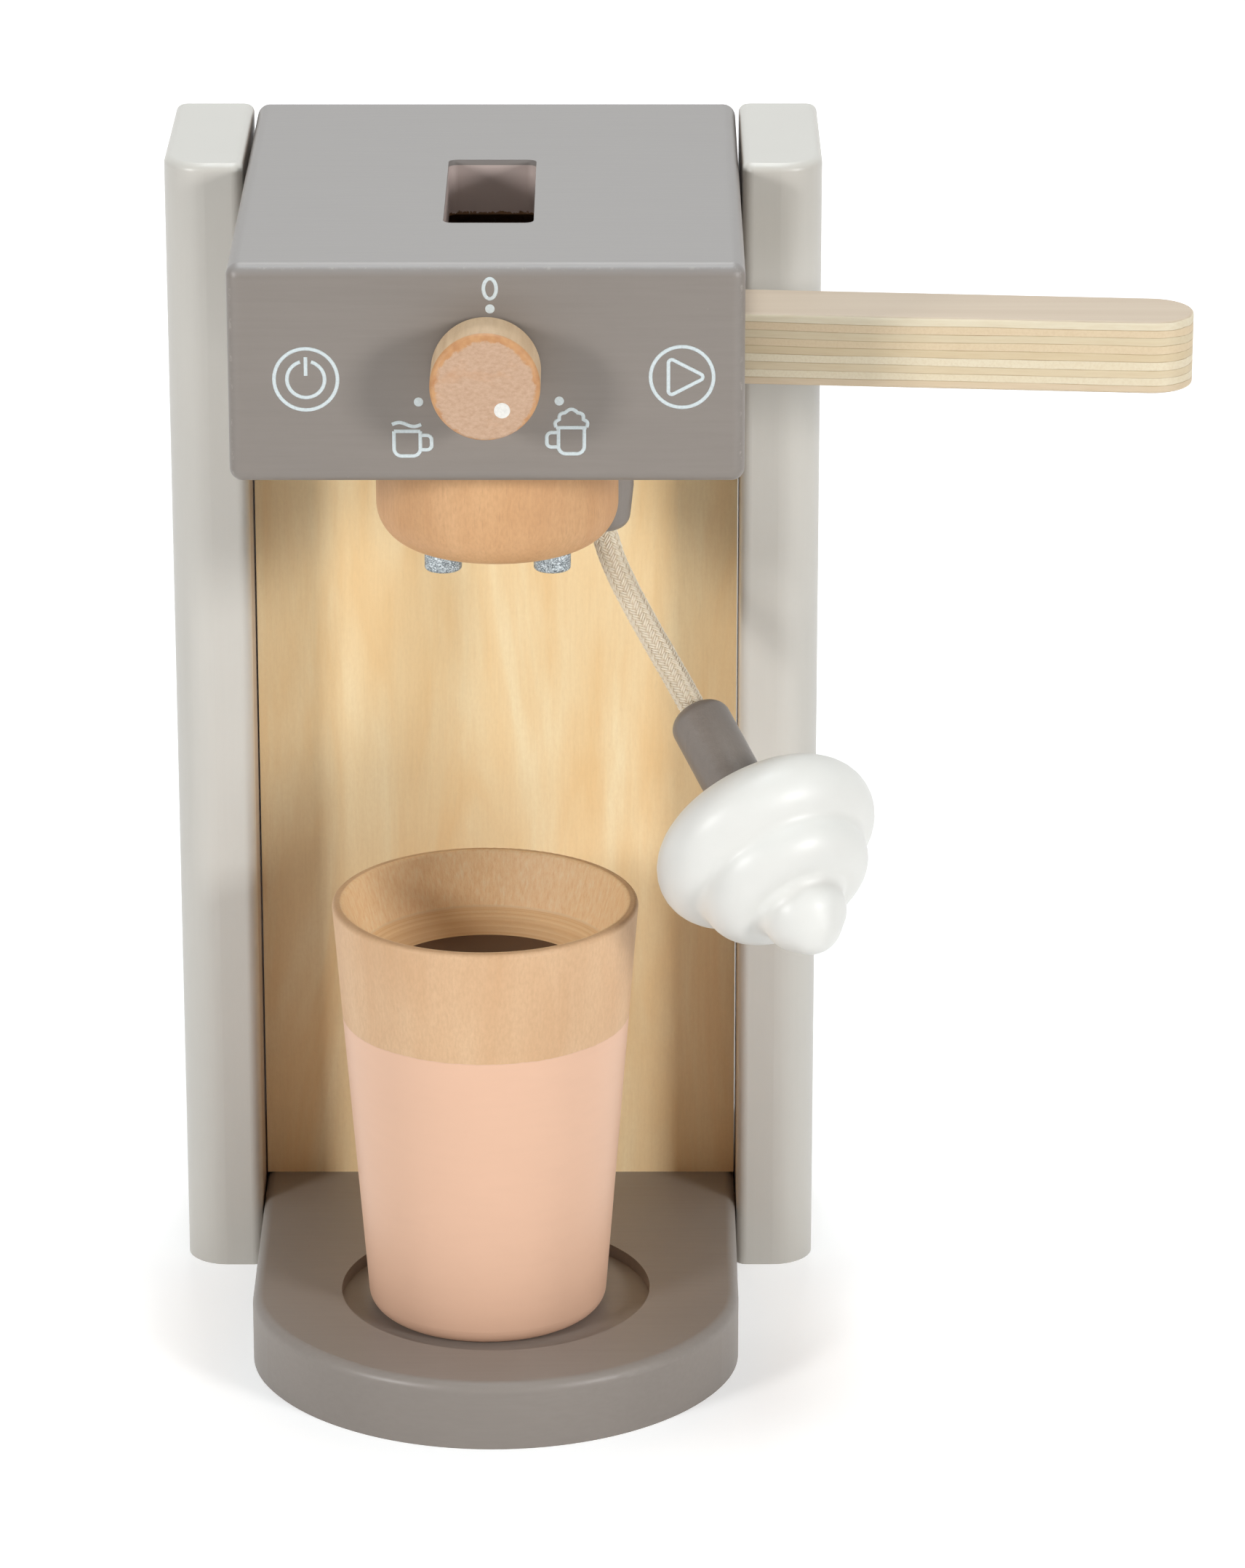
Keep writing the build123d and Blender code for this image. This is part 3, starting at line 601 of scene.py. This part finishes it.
# %% Silver spouts
def glitter():
    material, tree, shader = finish("silver_glitter", Metallic=0.65, Specular_IOR_Level=0.6)
    cells = node(tree, "TexVoronoi", {"Vector": place(tree), "Scale": 4600.0})
    tone = node(tree, "SeparateColor", {0: cells.outputs["Color"]})
    colours = [
        (0.0, srgb(84, 92, 96)),
        (0.3, srgb(140, 148, 152)),
        (0.65, srgb(172, 180, 184)),
        (1.0, srgb(222, 230, 233)),
    ]
    tree.links.new(ramp(tree, tone.outputs[0], colours), shader.inputs["Base Color"])
    tree.links.new(spread(tree, tone.outputs[1], 0.0, 1.0, 0.28, 0.62), shader.inputs["Roughness"])
    bump(tree, shader, tone.outputs[2], 0.16 * MM, 0.8)
    return material


put_on(glitter(), "spout_left", "spout_right")
print("spouts: silver glitter")

# %% [markdown]
# ## Cup
# The cup is turned from one block of pale wood, then dipped in peach paint up to a line below its
# rim. The line is level, because the paint was masked, with a hair of unevenness. Inside, the lathe
# has left fine rings on the ledge, and the floor of the bowl is coffee brown.

# %% Cup
PEACH = srgb(239, 195, 166)
PAINT_LINE = 83.7 * MM
LEDGE_TOP = 98.2 * MM
WALL = 1.9 * MM  # how far in from the outside the bowl begins
LATHE_FEED = 0.9 * MM  # from one ring that the lathe left to the next
CUP_SLOPE = 0.0779  # how much the cup's radius grows with its height
cup_low, cup_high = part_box("cup")
cup_axis = (cup_low + cup_high) / 2
rim_radius = (cup_high.x - cup_low.x) / 2


def bowl_wood_and_painted_light(tree, height, radius, torn):
    """Colours of the bowl: torn grain on its wall, fine rings on its ledge, fuzz between the two."""
    # Painted light: the wall and the ledge are paler than the cup's outside wood, standing in for light
    # inside the bowl.
    lit_wall_colours = [(0.30, srgb(242, 198, 148)), (0.50, srgb(251, 214, 166)), (0.70, srgb(255, 228, 188))]
    lit_rough_wall = ramp(tree, torn, lit_wall_colours)
    wide_rings = noise(tree, node(tree, "CombineXYZ", {0: radius}).outputs[0], 1300.0, 3.0, 0.7)
    lit_ledge_wood = ramp(tree, wide_rings, [(0.32, srgb(228, 182, 130)), (0.66, srgb(252, 218, 170))])
    ledge = spread(tree, height, LEDGE_TOP - 0.1 * MM, LEDGE_TOP + 0.1 * MM, 1.0, 0.0)
    colours = mix(tree, ledge, lit_rough_wall, lit_ledge_wood)
    fuzz = spread(tree, apart(tree, height, LEDGE_TOP), 0.05 * MM, 0.4 * MM, 0.5, 0.0)
    return mix(tree, fuzz, colours, srgb(240, 212, 172)), ledge


def peach_film(tree, level):
    """Colours of the dipped paint, with the darker lip that it dries to along its upper line."""
    cloud = noise(tree, place(tree), 16.0, 3.0)
    film = ramp(tree, cloud, [(0.25, shade(PEACH, 0.965)), (0.75, shade(PEACH, 1.02))])
    streaks = noise(tree, place(tree, stretch=(1.0, 1.0, 6.0)), 90.0, 3.0)
    film = mix(tree, spread(tree, streaks, 0.45, 0.75, 0.0, 0.20), film, shade(PEACH, 0.93))
    lip = spread(tree, apart(tree, level, PAINT_LINE), 0.05 * MM, 0.30 * MM, 0.45, 0.0)
    film = mix(tree, lip, film, shade(PEACH, 0.78))
    return mix(tree, specks(tree, 120.0, 0.016, 0.036, 0.94, 0.5), film, srgb(170, 140, 116))


def cup_finish():
    material, tree, shader, band = wood(
        "peach_cup_and_painted_light", srgb(233, 197, 158), srgb(221, 178, 136), "Z", 12.0, 0.10, stretch=0.3, mottle=0.38
    )
    height = node(tree, "SeparateXYZ", {0: place(tree)}).outputs[2]
    x, y, _ = node(tree, "SeparateXYZ", {0: place(tree, shift=(cup_axis.x, cup_axis.y, 0.0))}).outputs
    radius = length_of(tree, x, y)
    outer = plus(tree, times(tree, minus(tree, height, cup_high.z), CUP_SLOPE), rim_radius)
    in_bowl = spread(tree, minus(tree, outer, radius), WALL - 0.3 * MM, WALL)
    torn = noise(tree, place(tree, stretch=(1.0, 1.0, 0.12)), 1300.0, 5.0, 0.7)
    inside, ledge = bowl_wood_and_painted_light(tree, height, radius, torn)
    bare = mix(tree, in_bowl, band, inside)

    waver = spread(tree, noise(tree, place(tree), 60.0, 3.0), 0.3, 0.7, -0.12 * MM, 0.12 * MM)
    beads = spread(tree, noise(tree, place(tree), 420.0, 3.0), 0.35, 0.65, -0.07 * MM, 0.07 * MM)
    level = plus(tree, height, plus(tree, waver, beads))
    painted = spread(tree, level, PAINT_LINE - 0.05 * MM, PAINT_LINE + 0.05 * MM, 1.0, 0.0)
    tree.links.new(mix(tree, painted, bare, peach_film(tree, level)), shader.inputs["Base Color"])
    tree.links.new(spread(tree, painted, 0.0, 1.0, 0.55, 0.40), shader.inputs["Roughness"])

    fibre = noise(tree, place(tree, stretch=(1.0, 1.0, 0.08)), 1700.0, 3.0, 0.6)
    fibre_relief = times(tree, fibre, minus(tree, 1.1, painted))
    turned_rings = maths(tree, "SINE", times(tree, radius, 2 * math.pi / LATHE_FEED))
    bowl_relief = plus(tree, times(tree, torn, 2.5), times(tree, turned_rings, times(tree, ledge, 0.7)))
    relief = plus(tree, fibre_relief, times(tree, bowl_relief, in_bowl))
    bump(tree, shader, plus(tree, relief, times(tree, painted, 1.2)), 0.06 * MM, 0.6)
    return material


put_on(cup_finish(), "cup")
put_on(paint("coffee_paint", COFFEE, "X", grain_depth=0.02 * MM, roughness=0.6, dust=0.0), "coffee_disc")
print("cup: peach below", round(PAINT_LINE / MM, 1), "mm, bare wood above")

# %% [markdown]
# ## Screws
# The screws sit inside the head. They are zinc plated, with the faint grey haze that plating has.

# %% Screws
def zinc():
    material, tree, shader = finish("zinc_screws", Metallic=1.0)
    haze = noise(tree, place(tree), 700.0, 4.0)
    greys = ramp(tree, haze, [(0.3, srgb(150, 152, 155)), (0.7, srgb(196, 198, 202))])
    tree.links.new(greys, shader.inputs["Base Color"])
    tree.links.new(spread(tree, haze, 0.3, 0.7, 0.28, 0.46), shader.inputs["Roughness"])
    return material


put_on(zinc(), "brew_head_screws", "frother_holder_screw")
print("screws: zinc")

# %% [markdown]
# ## Rope
# The frother hangs on a short rope of undyed cotton. Its route is one smooth NURBS line: down out of
# the holder, forward past the brew head, and into the handle. The first point lies inside the holder
# and the last one inside the handle, so that the ends never show.

# %% Route of the rope
ROPE_EXIT = Vector((24.5, -18.0, 188.4)) * MM
ROPE_STEPS = [  # the route's points, in millimetres from the exit
    (-0.8, 0.5, 4.0),
    (1.0, -0.7, -4.2),
    (4.9, -4.3, -12.3),
    (9.9, -9.9, -20.1),
    (14.5, -15.9, -26.6),
    (18.7, -22.3, -32.2),
    (22.4, -28.9, -37.2),
]
ROPE_RADIUS = 3.0 * MM
POINTS_APART = 0.5 * MM
rope_points = [ROPE_EXIT + Vector(step) * MM for step in ROPE_STEPS]


def smooth_line(points):
    """Points along the NURBS line that has these control points."""
    curve = bpy.data.curves.new("route", "CURVE")
    curve.dimensions = "3D"
    spline = curve.splines.new("NURBS")
    spline.points.add(len(points) - 1)
    for target, point in zip(spline.points, points):
        target.co = (*point, 1.0)
    spline.order_u = 3
    spline.use_endpoint_u = True
    spline.resolution_u = 24
    holder = bpy.data.objects.new("route", curve)
    mesh = bpy.data.meshes.new_from_object(holder)
    line = [vertex.co.copy() for vertex in mesh.vertices]
    bpy.data.objects.remove(holder)
    bpy.data.meshes.remove(mesh)
    bpy.data.curves.remove(curve)
    return line


def evenly(line, step):
    """The same line with a point at every step of its length."""
    spaced, carried = [line[0]], 0.0
    for before, after in zip(line, line[1:]):
        run = (after - before).length
        while carried + run >= step:
            before = before.lerp(after, (step - carried) / run)
            spaced.append(before.copy())
            run, carried = (after - before).length, 0.0
        carried += run
    return spaced


rope_line = evenly(smooth_line(rope_points), POINTS_APART)

# %% [markdown]
# ## Braid
# A braided rope has strands that wind one way and strands that wind the other, and each passes over
# two and under two of the others. That gives the columns of V shapes. Each strand is two yarns side
# by side. The pattern comes from one rule: a strand knows which opposite strand it is crossing, and
# its height above the rope's core follows a cosine of that number, clipped so that it stays up and
# stays down for a while. The yarns are curves with a round section, which Blender turns into one mesh.

# %% Braid
STRANDS = 12
LEAD = 19.0 * MM  # length of rope in which a strand goes round once
YARN_RADIUS = 0.27 * MM
YARN_SPACING = 0.262  # radians round the rope
YARN_RISE = 0.26 * MM  # how far it goes up and down as it crosses the others
YARN_WANDER = 0.03 * MM
THINNEST, THICKEST = 0.92, 1.06  # shares of the yarn's radius
CLIP = 1.35
CORE_RADIUS = ROPE_RADIUS - 4 * YARN_RADIUS


def carried_frames(line):
    """At each point of the line, two directions across it that don't twist from point to point."""
    frames = []
    heading = (line[1] - line[0]).normalized()
    across = heading.orthogonal().normalized()
    for here, after in zip(line, line[1:] + [line[-1] * 2 - line[-2]]):
        ahead = (after - here).normalized()
        across = (heading.rotation_difference(ahead) @ across).normalized()
        heading = ahead
        frames.append((here, across, heading.cross(across)))
    return frames


def yarn(frames, way, number, sideways, uneven):
    """One yarn of a strand: way is 1 or -1, and sideways its place in the strand."""
    points = []
    middle_radius = ROPE_RADIUS - YARN_RADIUS - YARN_RISE
    first_over = 0.5 if way > 0 else 1.5
    for count, (centre, across, up) in enumerate(frames):
        turn = way * 2 * math.pi * count * POINTS_APART / LEAD
        angle = 2 * math.pi * number / STRANDS + turn + sideways
        crossing = (angle + turn) * STRANDS / (2 * math.pi)
        phase = way * (crossing - number) - first_over - 2 * number
        rise = max(-1.0, min(1.0, CLIP * math.cos(math.pi / 2 * phase)))
        radius = middle_radius + YARN_RISE * rise + uneven.uniform(-1.0, 1.0) * YARN_WANDER
        points.append(centre + (across * math.cos(angle) + up * math.sin(angle)) * radius)
    return points


braid = bpy.data.curves.new("braid", "CURVE")
braid.dimensions = "3D"
braid.bevel_depth = YARN_RADIUS
braid.bevel_resolution = 1
uneven = random.Random(7)
frames = carried_frames(rope_line)
for way in (1, -1):
    for number in range(STRANDS):
        for place_in_strand in (-0.5, 0.5):
            spline = braid.splines.new("POLY")
            path = yarn(frames, way, number, place_in_strand * YARN_SPACING, uneven)
            spline.points.add(len(path) - 1)
            for target, point in zip(spline.points, path):
                target.co = (*point, 1.0)
                target.radius = uneven.uniform(THINNEST, THICKEST)
core = braid.splines.new("POLY")
core.points.add(len(rope_line) - 1)
for target, point in zip(core.points, rope_line):
    target.co = (*point, 1.0)
    target.radius = CORE_RADIUS / YARN_RADIUS
holder = bpy.data.objects.new("braid", braid)
rope = bpy.data.objects.new("rope_braid", bpy.data.meshes.new_from_object(holder))
bpy.data.objects.remove(holder)
rope.data.name = "rope_braid"
scene.collection.objects.link(rope)
print("braid:", 2 * STRANDS, "strands of 2 yarns,", len(rope.data.polygons), "faces")

# %% [markdown]
# ## Cotton
# Undyed cotton is a warm cream. Yarns that lie deep between the others sit in shade, and the finish
# paints that shade in: the braid carries a value at each vertex that says how deep it lies, and the
# finish darkens by it. Fine noise breaks up each yarn into fibres. A little sheen gives the soft
# bright rim of loose fibres.

# %% Cotton
def depth_of(obj, line, radius):
    """Store at each vertex how near it is to the rope's surface: 0 deep inside, 1 outside."""
    step = 6  # look first at every sixth point, then at those round the nearest
    coarse = line[::step]
    values = []
    for vertex in obj.data.vertices:
        near = min(coarse, key=lambda point: (point - vertex.co).length_squared)
        at = coarse.index(near) * step
        around = line[max(0, at - step) : at + step + 1]
        away = min((point - vertex.co).length for point in around)
        values.append(max(0.0, min(1.0, away / radius)))
    layer = obj.data.attributes.new("outside", "FLOAT", "POINT")
    layer.data.foreach_set("value", values)


def cotton():
    material, tree, shader = finish(
        "cotton_rope", Roughness=0.9, Specular_IOR_Level=0.2, Sheen_Weight=0.35, Sheen_Roughness=0.5
    )
    outside = node(tree, "Attribute", attribute_name="outside").outputs["Fac"]
    # Painted shade: the deepest yarns are darkened to brown.
    colours = [(0.0, srgb(158, 122, 88)), (0.4, srgb(222, 203, 172)), (1.0, srgb(250, 240, 220))]
    base = ramp(tree, spread(tree, outside, 0.82, 0.97), colours)
    patches = noise(tree, place(tree), 330.0, 3.0)
    base = mix(tree, spread(tree, patches, 0.40, 0.75, 0.0, 0.25), base, srgb(222, 204, 172))
    fibres = noise(tree, place(tree), 2600.0, 3.0, 0.7)
    base = mix(tree, spread(tree, fibres, 0.45, 0.75, 0.0, 0.22), base, srgb(206, 186, 154))
    tree.links.new(base, shader.inputs["Base Color"])
    bump(tree, shader, fibres, 0.08 * MM, 0.8)
    return material


depth_of(rope, rope_line, ROPE_RADIUS)
rope.data.materials.clear()
rope.data.materials.append(cotton())
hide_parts("frother_rope")
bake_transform(rope)
print("cotton: on the braid")

# %% [markdown]
# ## Milk foam
# The foam is one turned piece: two soft tiers and a tip. A turner cuts such a shape from a profile,
# and so does the spin operator: the profile is a chain of arcs that bulge outwards, with two hollows
# between them, and it is spun once round the handle's axis. The middle of a hollow's arc follows from
# the two arcs that it touches.

# %% Milk foam
SEAT_DEPTH = 4.0 * MM  # rope inside the handle
HANDLE_LENGTH = 28.5 * MM
SPIN_STEPS = 96
frother_axis = (rope_points[-1] - rope_points[-2]).normalized()
foam_top = rope_points[-1] + frother_axis * (HANDLE_LENGTH - SEAT_DEPTH)
# An arc's middle, as its distance from the axis and its drop below the handle, and its radius.
TIERS = [(16.9, 8.8, 8.6), (11.7, 18.6, 7.7), (2.1, 28.9, 7.3)]
POINT = (0.0, 31.5, 7.1)  # the rounded end of the tip
HOLLOW_RADIUS = 3.0
TOP_RADIUS = 9.0  # the flat top, against the handle


def hollow_middle(upper, lower):
    """Middle of the arc that touches two tiers from outside."""
    far_upper, far_lower = upper[2] + HOLLOW_RADIUS, lower[2] + HOLLOW_RADIUS
    run, fall = lower[0] - upper[0], lower[1] - upper[1]
    between = math.hypot(run, fall)
    along = (far_upper**2 - far_lower**2 + between**2) / (2 * between)
    aside = math.sqrt(far_upper**2 - along**2)
    return (
        upper[0] + (run * along + fall * aside) / between,
        upper[1] + (fall * along - run * aside) / between,
    )


def heading_to(start, end):
    return math.atan2(end[1] - start[1], end[0] - start[0])


def arc_points(middle, radius, start, end, steps):
    angles = [start + (end - start) * i / steps for i in range(steps + 1)]
    return [(middle[0] + radius * math.cos(a), middle[1] + radius * math.sin(a)) for a in angles]


def foam_profile():
    """Distances from the axis and drops, in millimetres, from the handle to the tip."""
    hollows = [hollow_middle(upper, lower) for upper, lower in zip(TIERS, TIERS[1:])]
    points = [(0.0, 0.0), (TOP_RADIUS, 0.0)]
    start = -math.pi / 2
    for tier, hollow, lower in zip(TIERS, hollows, TIERS[1:]):
        end = heading_to(tier, hollow)
        points += arc_points(tier, tier[2], start, end, 14)
        back = heading_to(hollow, tier) - (2 * math.pi if heading_to(hollow, tier) > 0 else 0)
        onward = heading_to(hollow, lower)
        onward -= 2 * math.pi if onward > back else 0
        if back - onward > math.pi:
            onward += 2 * math.pi
        points += arc_points(hollow, HOLLOW_RADIUS, back, onward, 8)[1:-1]
        start = heading_to(lower, hollow)
    tip = TIERS[-1]
    run, fall = POINT[0] - tip[0], POINT[1] - tip[1]
    touch = math.atan2(fall, run) - math.acos((tip[2] - POINT[2]) / math.hypot(run, fall))
    points += arc_points(tip, tip[2], start, touch, 12)
    return points + arc_points(POINT, POINT[2], touch, math.pi / 2, 12)


def turned(name, profile, origin, axis):
    """A turned piece: the profile is spun round the axis that starts at origin."""
    side = axis.orthogonal().normalized()
    shape = bmesh.new()
    line = [shape.verts.new(origin + side * (away * MM) + axis * (drop * MM)) for away, drop in profile]
    edges = [shape.edges.new(pair) for pair in zip(line, line[1:])]
    bmesh.ops.spin(
        shape,
        geom=line + edges,
        cent=origin,
        axis=axis,
        dvec=(0, 0, 0),
        angle=2 * math.pi,
        steps=SPIN_STEPS,
        use_merge=True,
    )
    bmesh.ops.remove_doubles(shape, verts=shape.verts, dist=0.01 * MM)
    bmesh.ops.recalc_face_normals(shape, faces=shape.faces)
    mesh = bpy.data.meshes.new(name)
    shape.to_mesh(mesh)
    shape.free()
    mesh.shade_smooth()
    made = bpy.data.objects.new(name, mesh)
    scene.collection.objects.link(made)
    return made


def lacquer():
    material, tree, shader = finish("white_lacquer", Specular_IOR_Level=0.45)
    cloud = noise(tree, place(tree), 55.0, 3.0)
    base = ramp(tree, cloud, [(0.3, srgb(230, 229, 224)), (0.7, srgb(234, 233, 228))])
    base = mix(tree, specks(tree, 190.0, 0.016, 0.034, 0.95, 0.5), base, srgb(180, 172, 160))
    tree.links.new(base, shader.inputs["Base Color"])
    tree.links.new(spread(tree, cloud, 0.3, 0.7, 0.36, 0.41), shader.inputs["Roughness"])
    bump(tree, shader, noise(tree, place(tree), 900.0, 2.0), 0.008 * MM, 0.3)
    return material


foam = turned("foam_swirl", foam_profile(), foam_top, frother_axis)
foam.data.materials.append(lacquer())
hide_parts("milk_foam")
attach(foam, "frother")
print("foam:", len(foam.data.polygons), "faces")

# %% [markdown]
# ## Printed figures
# The front of the head is screen printed in a bluish white: a power sign, a play sign, a zero and a
# dot above the knob, and two cups with their dots. Screen ink stands a few hundredths of a millimetre
# proud and has rounded edges. Each figure is drawn as a line: straight runs, and arcs from a formula.
# A curve gives the lines a round section, and the section is then pressed flat against the board.

# %% Printed figures
# All in millimetres: x to the right, z up.
INK_WIDTH, INK_PROUD = 0.80, 0.07
DOTS, DOT_RADIUS = [(0.9, 257.9), (-14.4, 237.4), (15.5, 237.6)], 1.0
KNOB_DOT_RADIUS, KNOB_DOT_PROUD = 1.7, 0.12


def ring(x, z, radius, start=0.0, end=360.0):
    """Part of a circle, from and to an angle in degrees, clockwise from its top."""
    steps = 48
    angles = [math.radians(start + (end - start) * i / steps) for i in range(steps + 1)]
    return [(x + radius * math.sin(a), z + radius * math.cos(a)) for a in angles]


def oval(x, z, half_width, half_height):
    steps = 32
    angles = [2 * math.pi * i / steps for i in range(steps)] + [0.0]
    return [(x + half_width * math.sin(a), z + half_height * math.cos(a)) for a in angles]


def rounded(corners, radius, closed=False):
    """A line through these corners, with each corner rounded by an arc."""
    line = []
    count = len(corners)
    for i, corner in enumerate(corners):
        if not closed and i in (0, count - 1):
            line.append(corner)
            continue
        here = Vector(corner)
        back = (Vector(corners[i - 1]) - here).normalized()
        on = (Vector(corners[(i + 1) % count]) - here).normalized()
        half = back.angle(on) / 2
        middle = here + (back + on).normalized() * (radius / math.sin(half))
        first = here + back * (radius / math.tan(half))
        last = here + on * (radius / math.tan(half))
        for step in range(7):
            spoke = (first - middle).lerp(last - middle, step / 6).normalized() * radius
            line.append(tuple(middle + spoke))
    return line + [line[0]] if closed else line


def scallops(points, bulge):
    """A line of small round bumps from point to point, bulging to the left of its way."""
    line = [points[0]]
    for start, end in zip(points, points[1:]):
        start, end = Vector(start), Vector(end)
        out = Vector((start.y - end.y, end.x - start.x)) * bulge
        for step in range(1, 9):
            share = step / 8
            line.append(tuple(start.lerp(end, share) + out * math.sin(math.pi * share)))
    return line


def wave(x_start, x_end, z, height):
    steps = 16
    shares = [i / steps for i in range(steps + 1)]
    return [(x_start + (x_end - x_start) * t, z + height * math.sin(2 * math.pi * t)) for t in shares]


power_sign = [
    ring(-38.3, 242.4, 6.75),
    ring(-38.3, 242.4, 4.0, 17.0, 343.0),
    [(-38.3, 243.2), (-38.3, 247.3)],
]
play_sign = [
    ring(41.6, 242.9, 6.7),
    rounded([(38.7, 247.2), (46.8, 242.9), (38.7, 238.6)], 0.7, closed=True),
]
zero = [oval(0.9, 262.3, 1.35, 2.2)]
plain_cup = [
    rounded([(-19.7, 230.9), (-19.7, 225.4), (-14.1, 225.4), (-14.1, 230.9)], 1.6),
    [(-19.7, 230.9), (-14.1, 230.9)],
    rounded([(-14.1, 230.0), (-11.7, 230.0), (-11.7, 226.8), (-14.1, 226.8)], 1.0),
    wave(-20.1, -13.9, 232.4, 0.45),
]
cream_cup = [
    rounded([(15.3, 231.5), (15.3, 225.9), (20.8, 225.9), (20.8, 231.5)], 1.6),
    [(14.8, 231.7), (21.3, 231.7)],
    rounded([(15.3, 230.6), (12.8, 230.6), (12.8, 227.4), (15.3, 227.4)], 1.0),
    scallops(
        [(14.8, 231.8), (15.5, 233.5), (16.7, 235.0), (19.4, 235.0), (20.6, 233.5), (21.3, 231.8)], bulge=0.30
    ),
]


def pressed(name, lines, width, proud, face_y):
    """Lines with a round section, pressed flat against a face that looks towards the user."""
    curve = bpy.data.curves.new(name, "CURVE")
    curve.dimensions = "3D"
    curve.bevel_depth = width / 2 * MM
    curve.bevel_resolution = 2
    curve.use_fill_caps = True
    for line in lines:
        closed = line[0] == line[-1]
        spline = curve.splines.new("POLY")
        spline.points.add(len(line) - 1 - closed)
        for target, (x, z) in zip(spline.points, line):
            target.co = (x * MM, 0.0, z * MM, 1.0)
        spline.use_cyclic_u = closed
    holder = bpy.data.objects.new(name, curve)
    mesh = bpy.data.meshes.new_from_object(holder)
    bpy.data.objects.remove(holder)
    return flattened(name, mesh, face_y, proud / (width / 2))


def flattened(name, mesh, face_y, share):
    """Squeeze a mesh about the plane y = 0, and move it onto a face."""
    shape = bmesh.new()
    shape.from_mesh(mesh)
    bmesh.ops.scale(shape, vec=(1.0, share, 1.0), verts=shape.verts)
    bmesh.ops.translate(shape, vec=(0.0, face_y, 0.0), verts=shape.verts)
    shape.to_mesh(mesh)
    shape.free()
    mesh.name = name
    mesh.shade_smooth()
    made = bpy.data.objects.new(name, mesh)
    scene.collection.objects.link(made)
    return made


def drops(name, centres, radius, proud, face_y):
    """Round drops of ink or paint on a face."""
    shape = bmesh.new()
    for x, z in centres:
        made = bmesh.ops.create_uvsphere(shape, u_segments=32, v_segments=12, radius=radius * MM)
        bmesh.ops.translate(shape, vec=(x * MM, 0.0, z * MM), verts=made["verts"])
    mesh = bpy.data.meshes.new(name)
    shape.to_mesh(mesh)
    shape.free()
    return flattened(name, mesh, face_y, proud / radius)


def ink(name, colour):
    material, tree, shader = finish(name, Specular_IOR_Level=0.4)
    grainy = noise(tree, place(tree), 2200.0, 3.0, 0.6)
    colours = ramp(tree, grainy, [(0.3, shade(colour, 0.86)), (0.65, colour)])
    tree.links.new(colours, shader.inputs["Base Color"])
    tree.links.new(spread(tree, grainy, 0.3, 0.7, 0.50, 0.66), shader.inputs["Roughness"])
    bump(tree, shader, grainy, 0.02 * MM, 0.5)
    return material


print_ink = ink("print_ink", srgb(216, 226, 228))
all_lines = power_sign + play_sign + zero + plain_cup + cream_cup
figures = pressed("front_figures", all_lines, INK_WIDTH, INK_PROUD, front_y)
dots = drops("front_dots", DOTS, DOT_RADIUS, INK_PROUD, front_y)
for piece in (figures, dots):
    piece.data.materials.append(print_ink)
    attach(piece, "machine")

dot_place = (knob_axis.x / MM + 3.6, knob_axis.z / MM - 4.9)
knob_dot = drops("knob_dot", [dot_place], KNOB_DOT_RADIUS, KNOB_DOT_PROUD, knob_low.y)
knob_dot.data.materials.append(ink("knob_dot_paint", srgb(240, 238, 232)))
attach(knob_dot, "knob")
print("print:", len(figures.data.polygons) + len(dots.data.polygons), "faces")
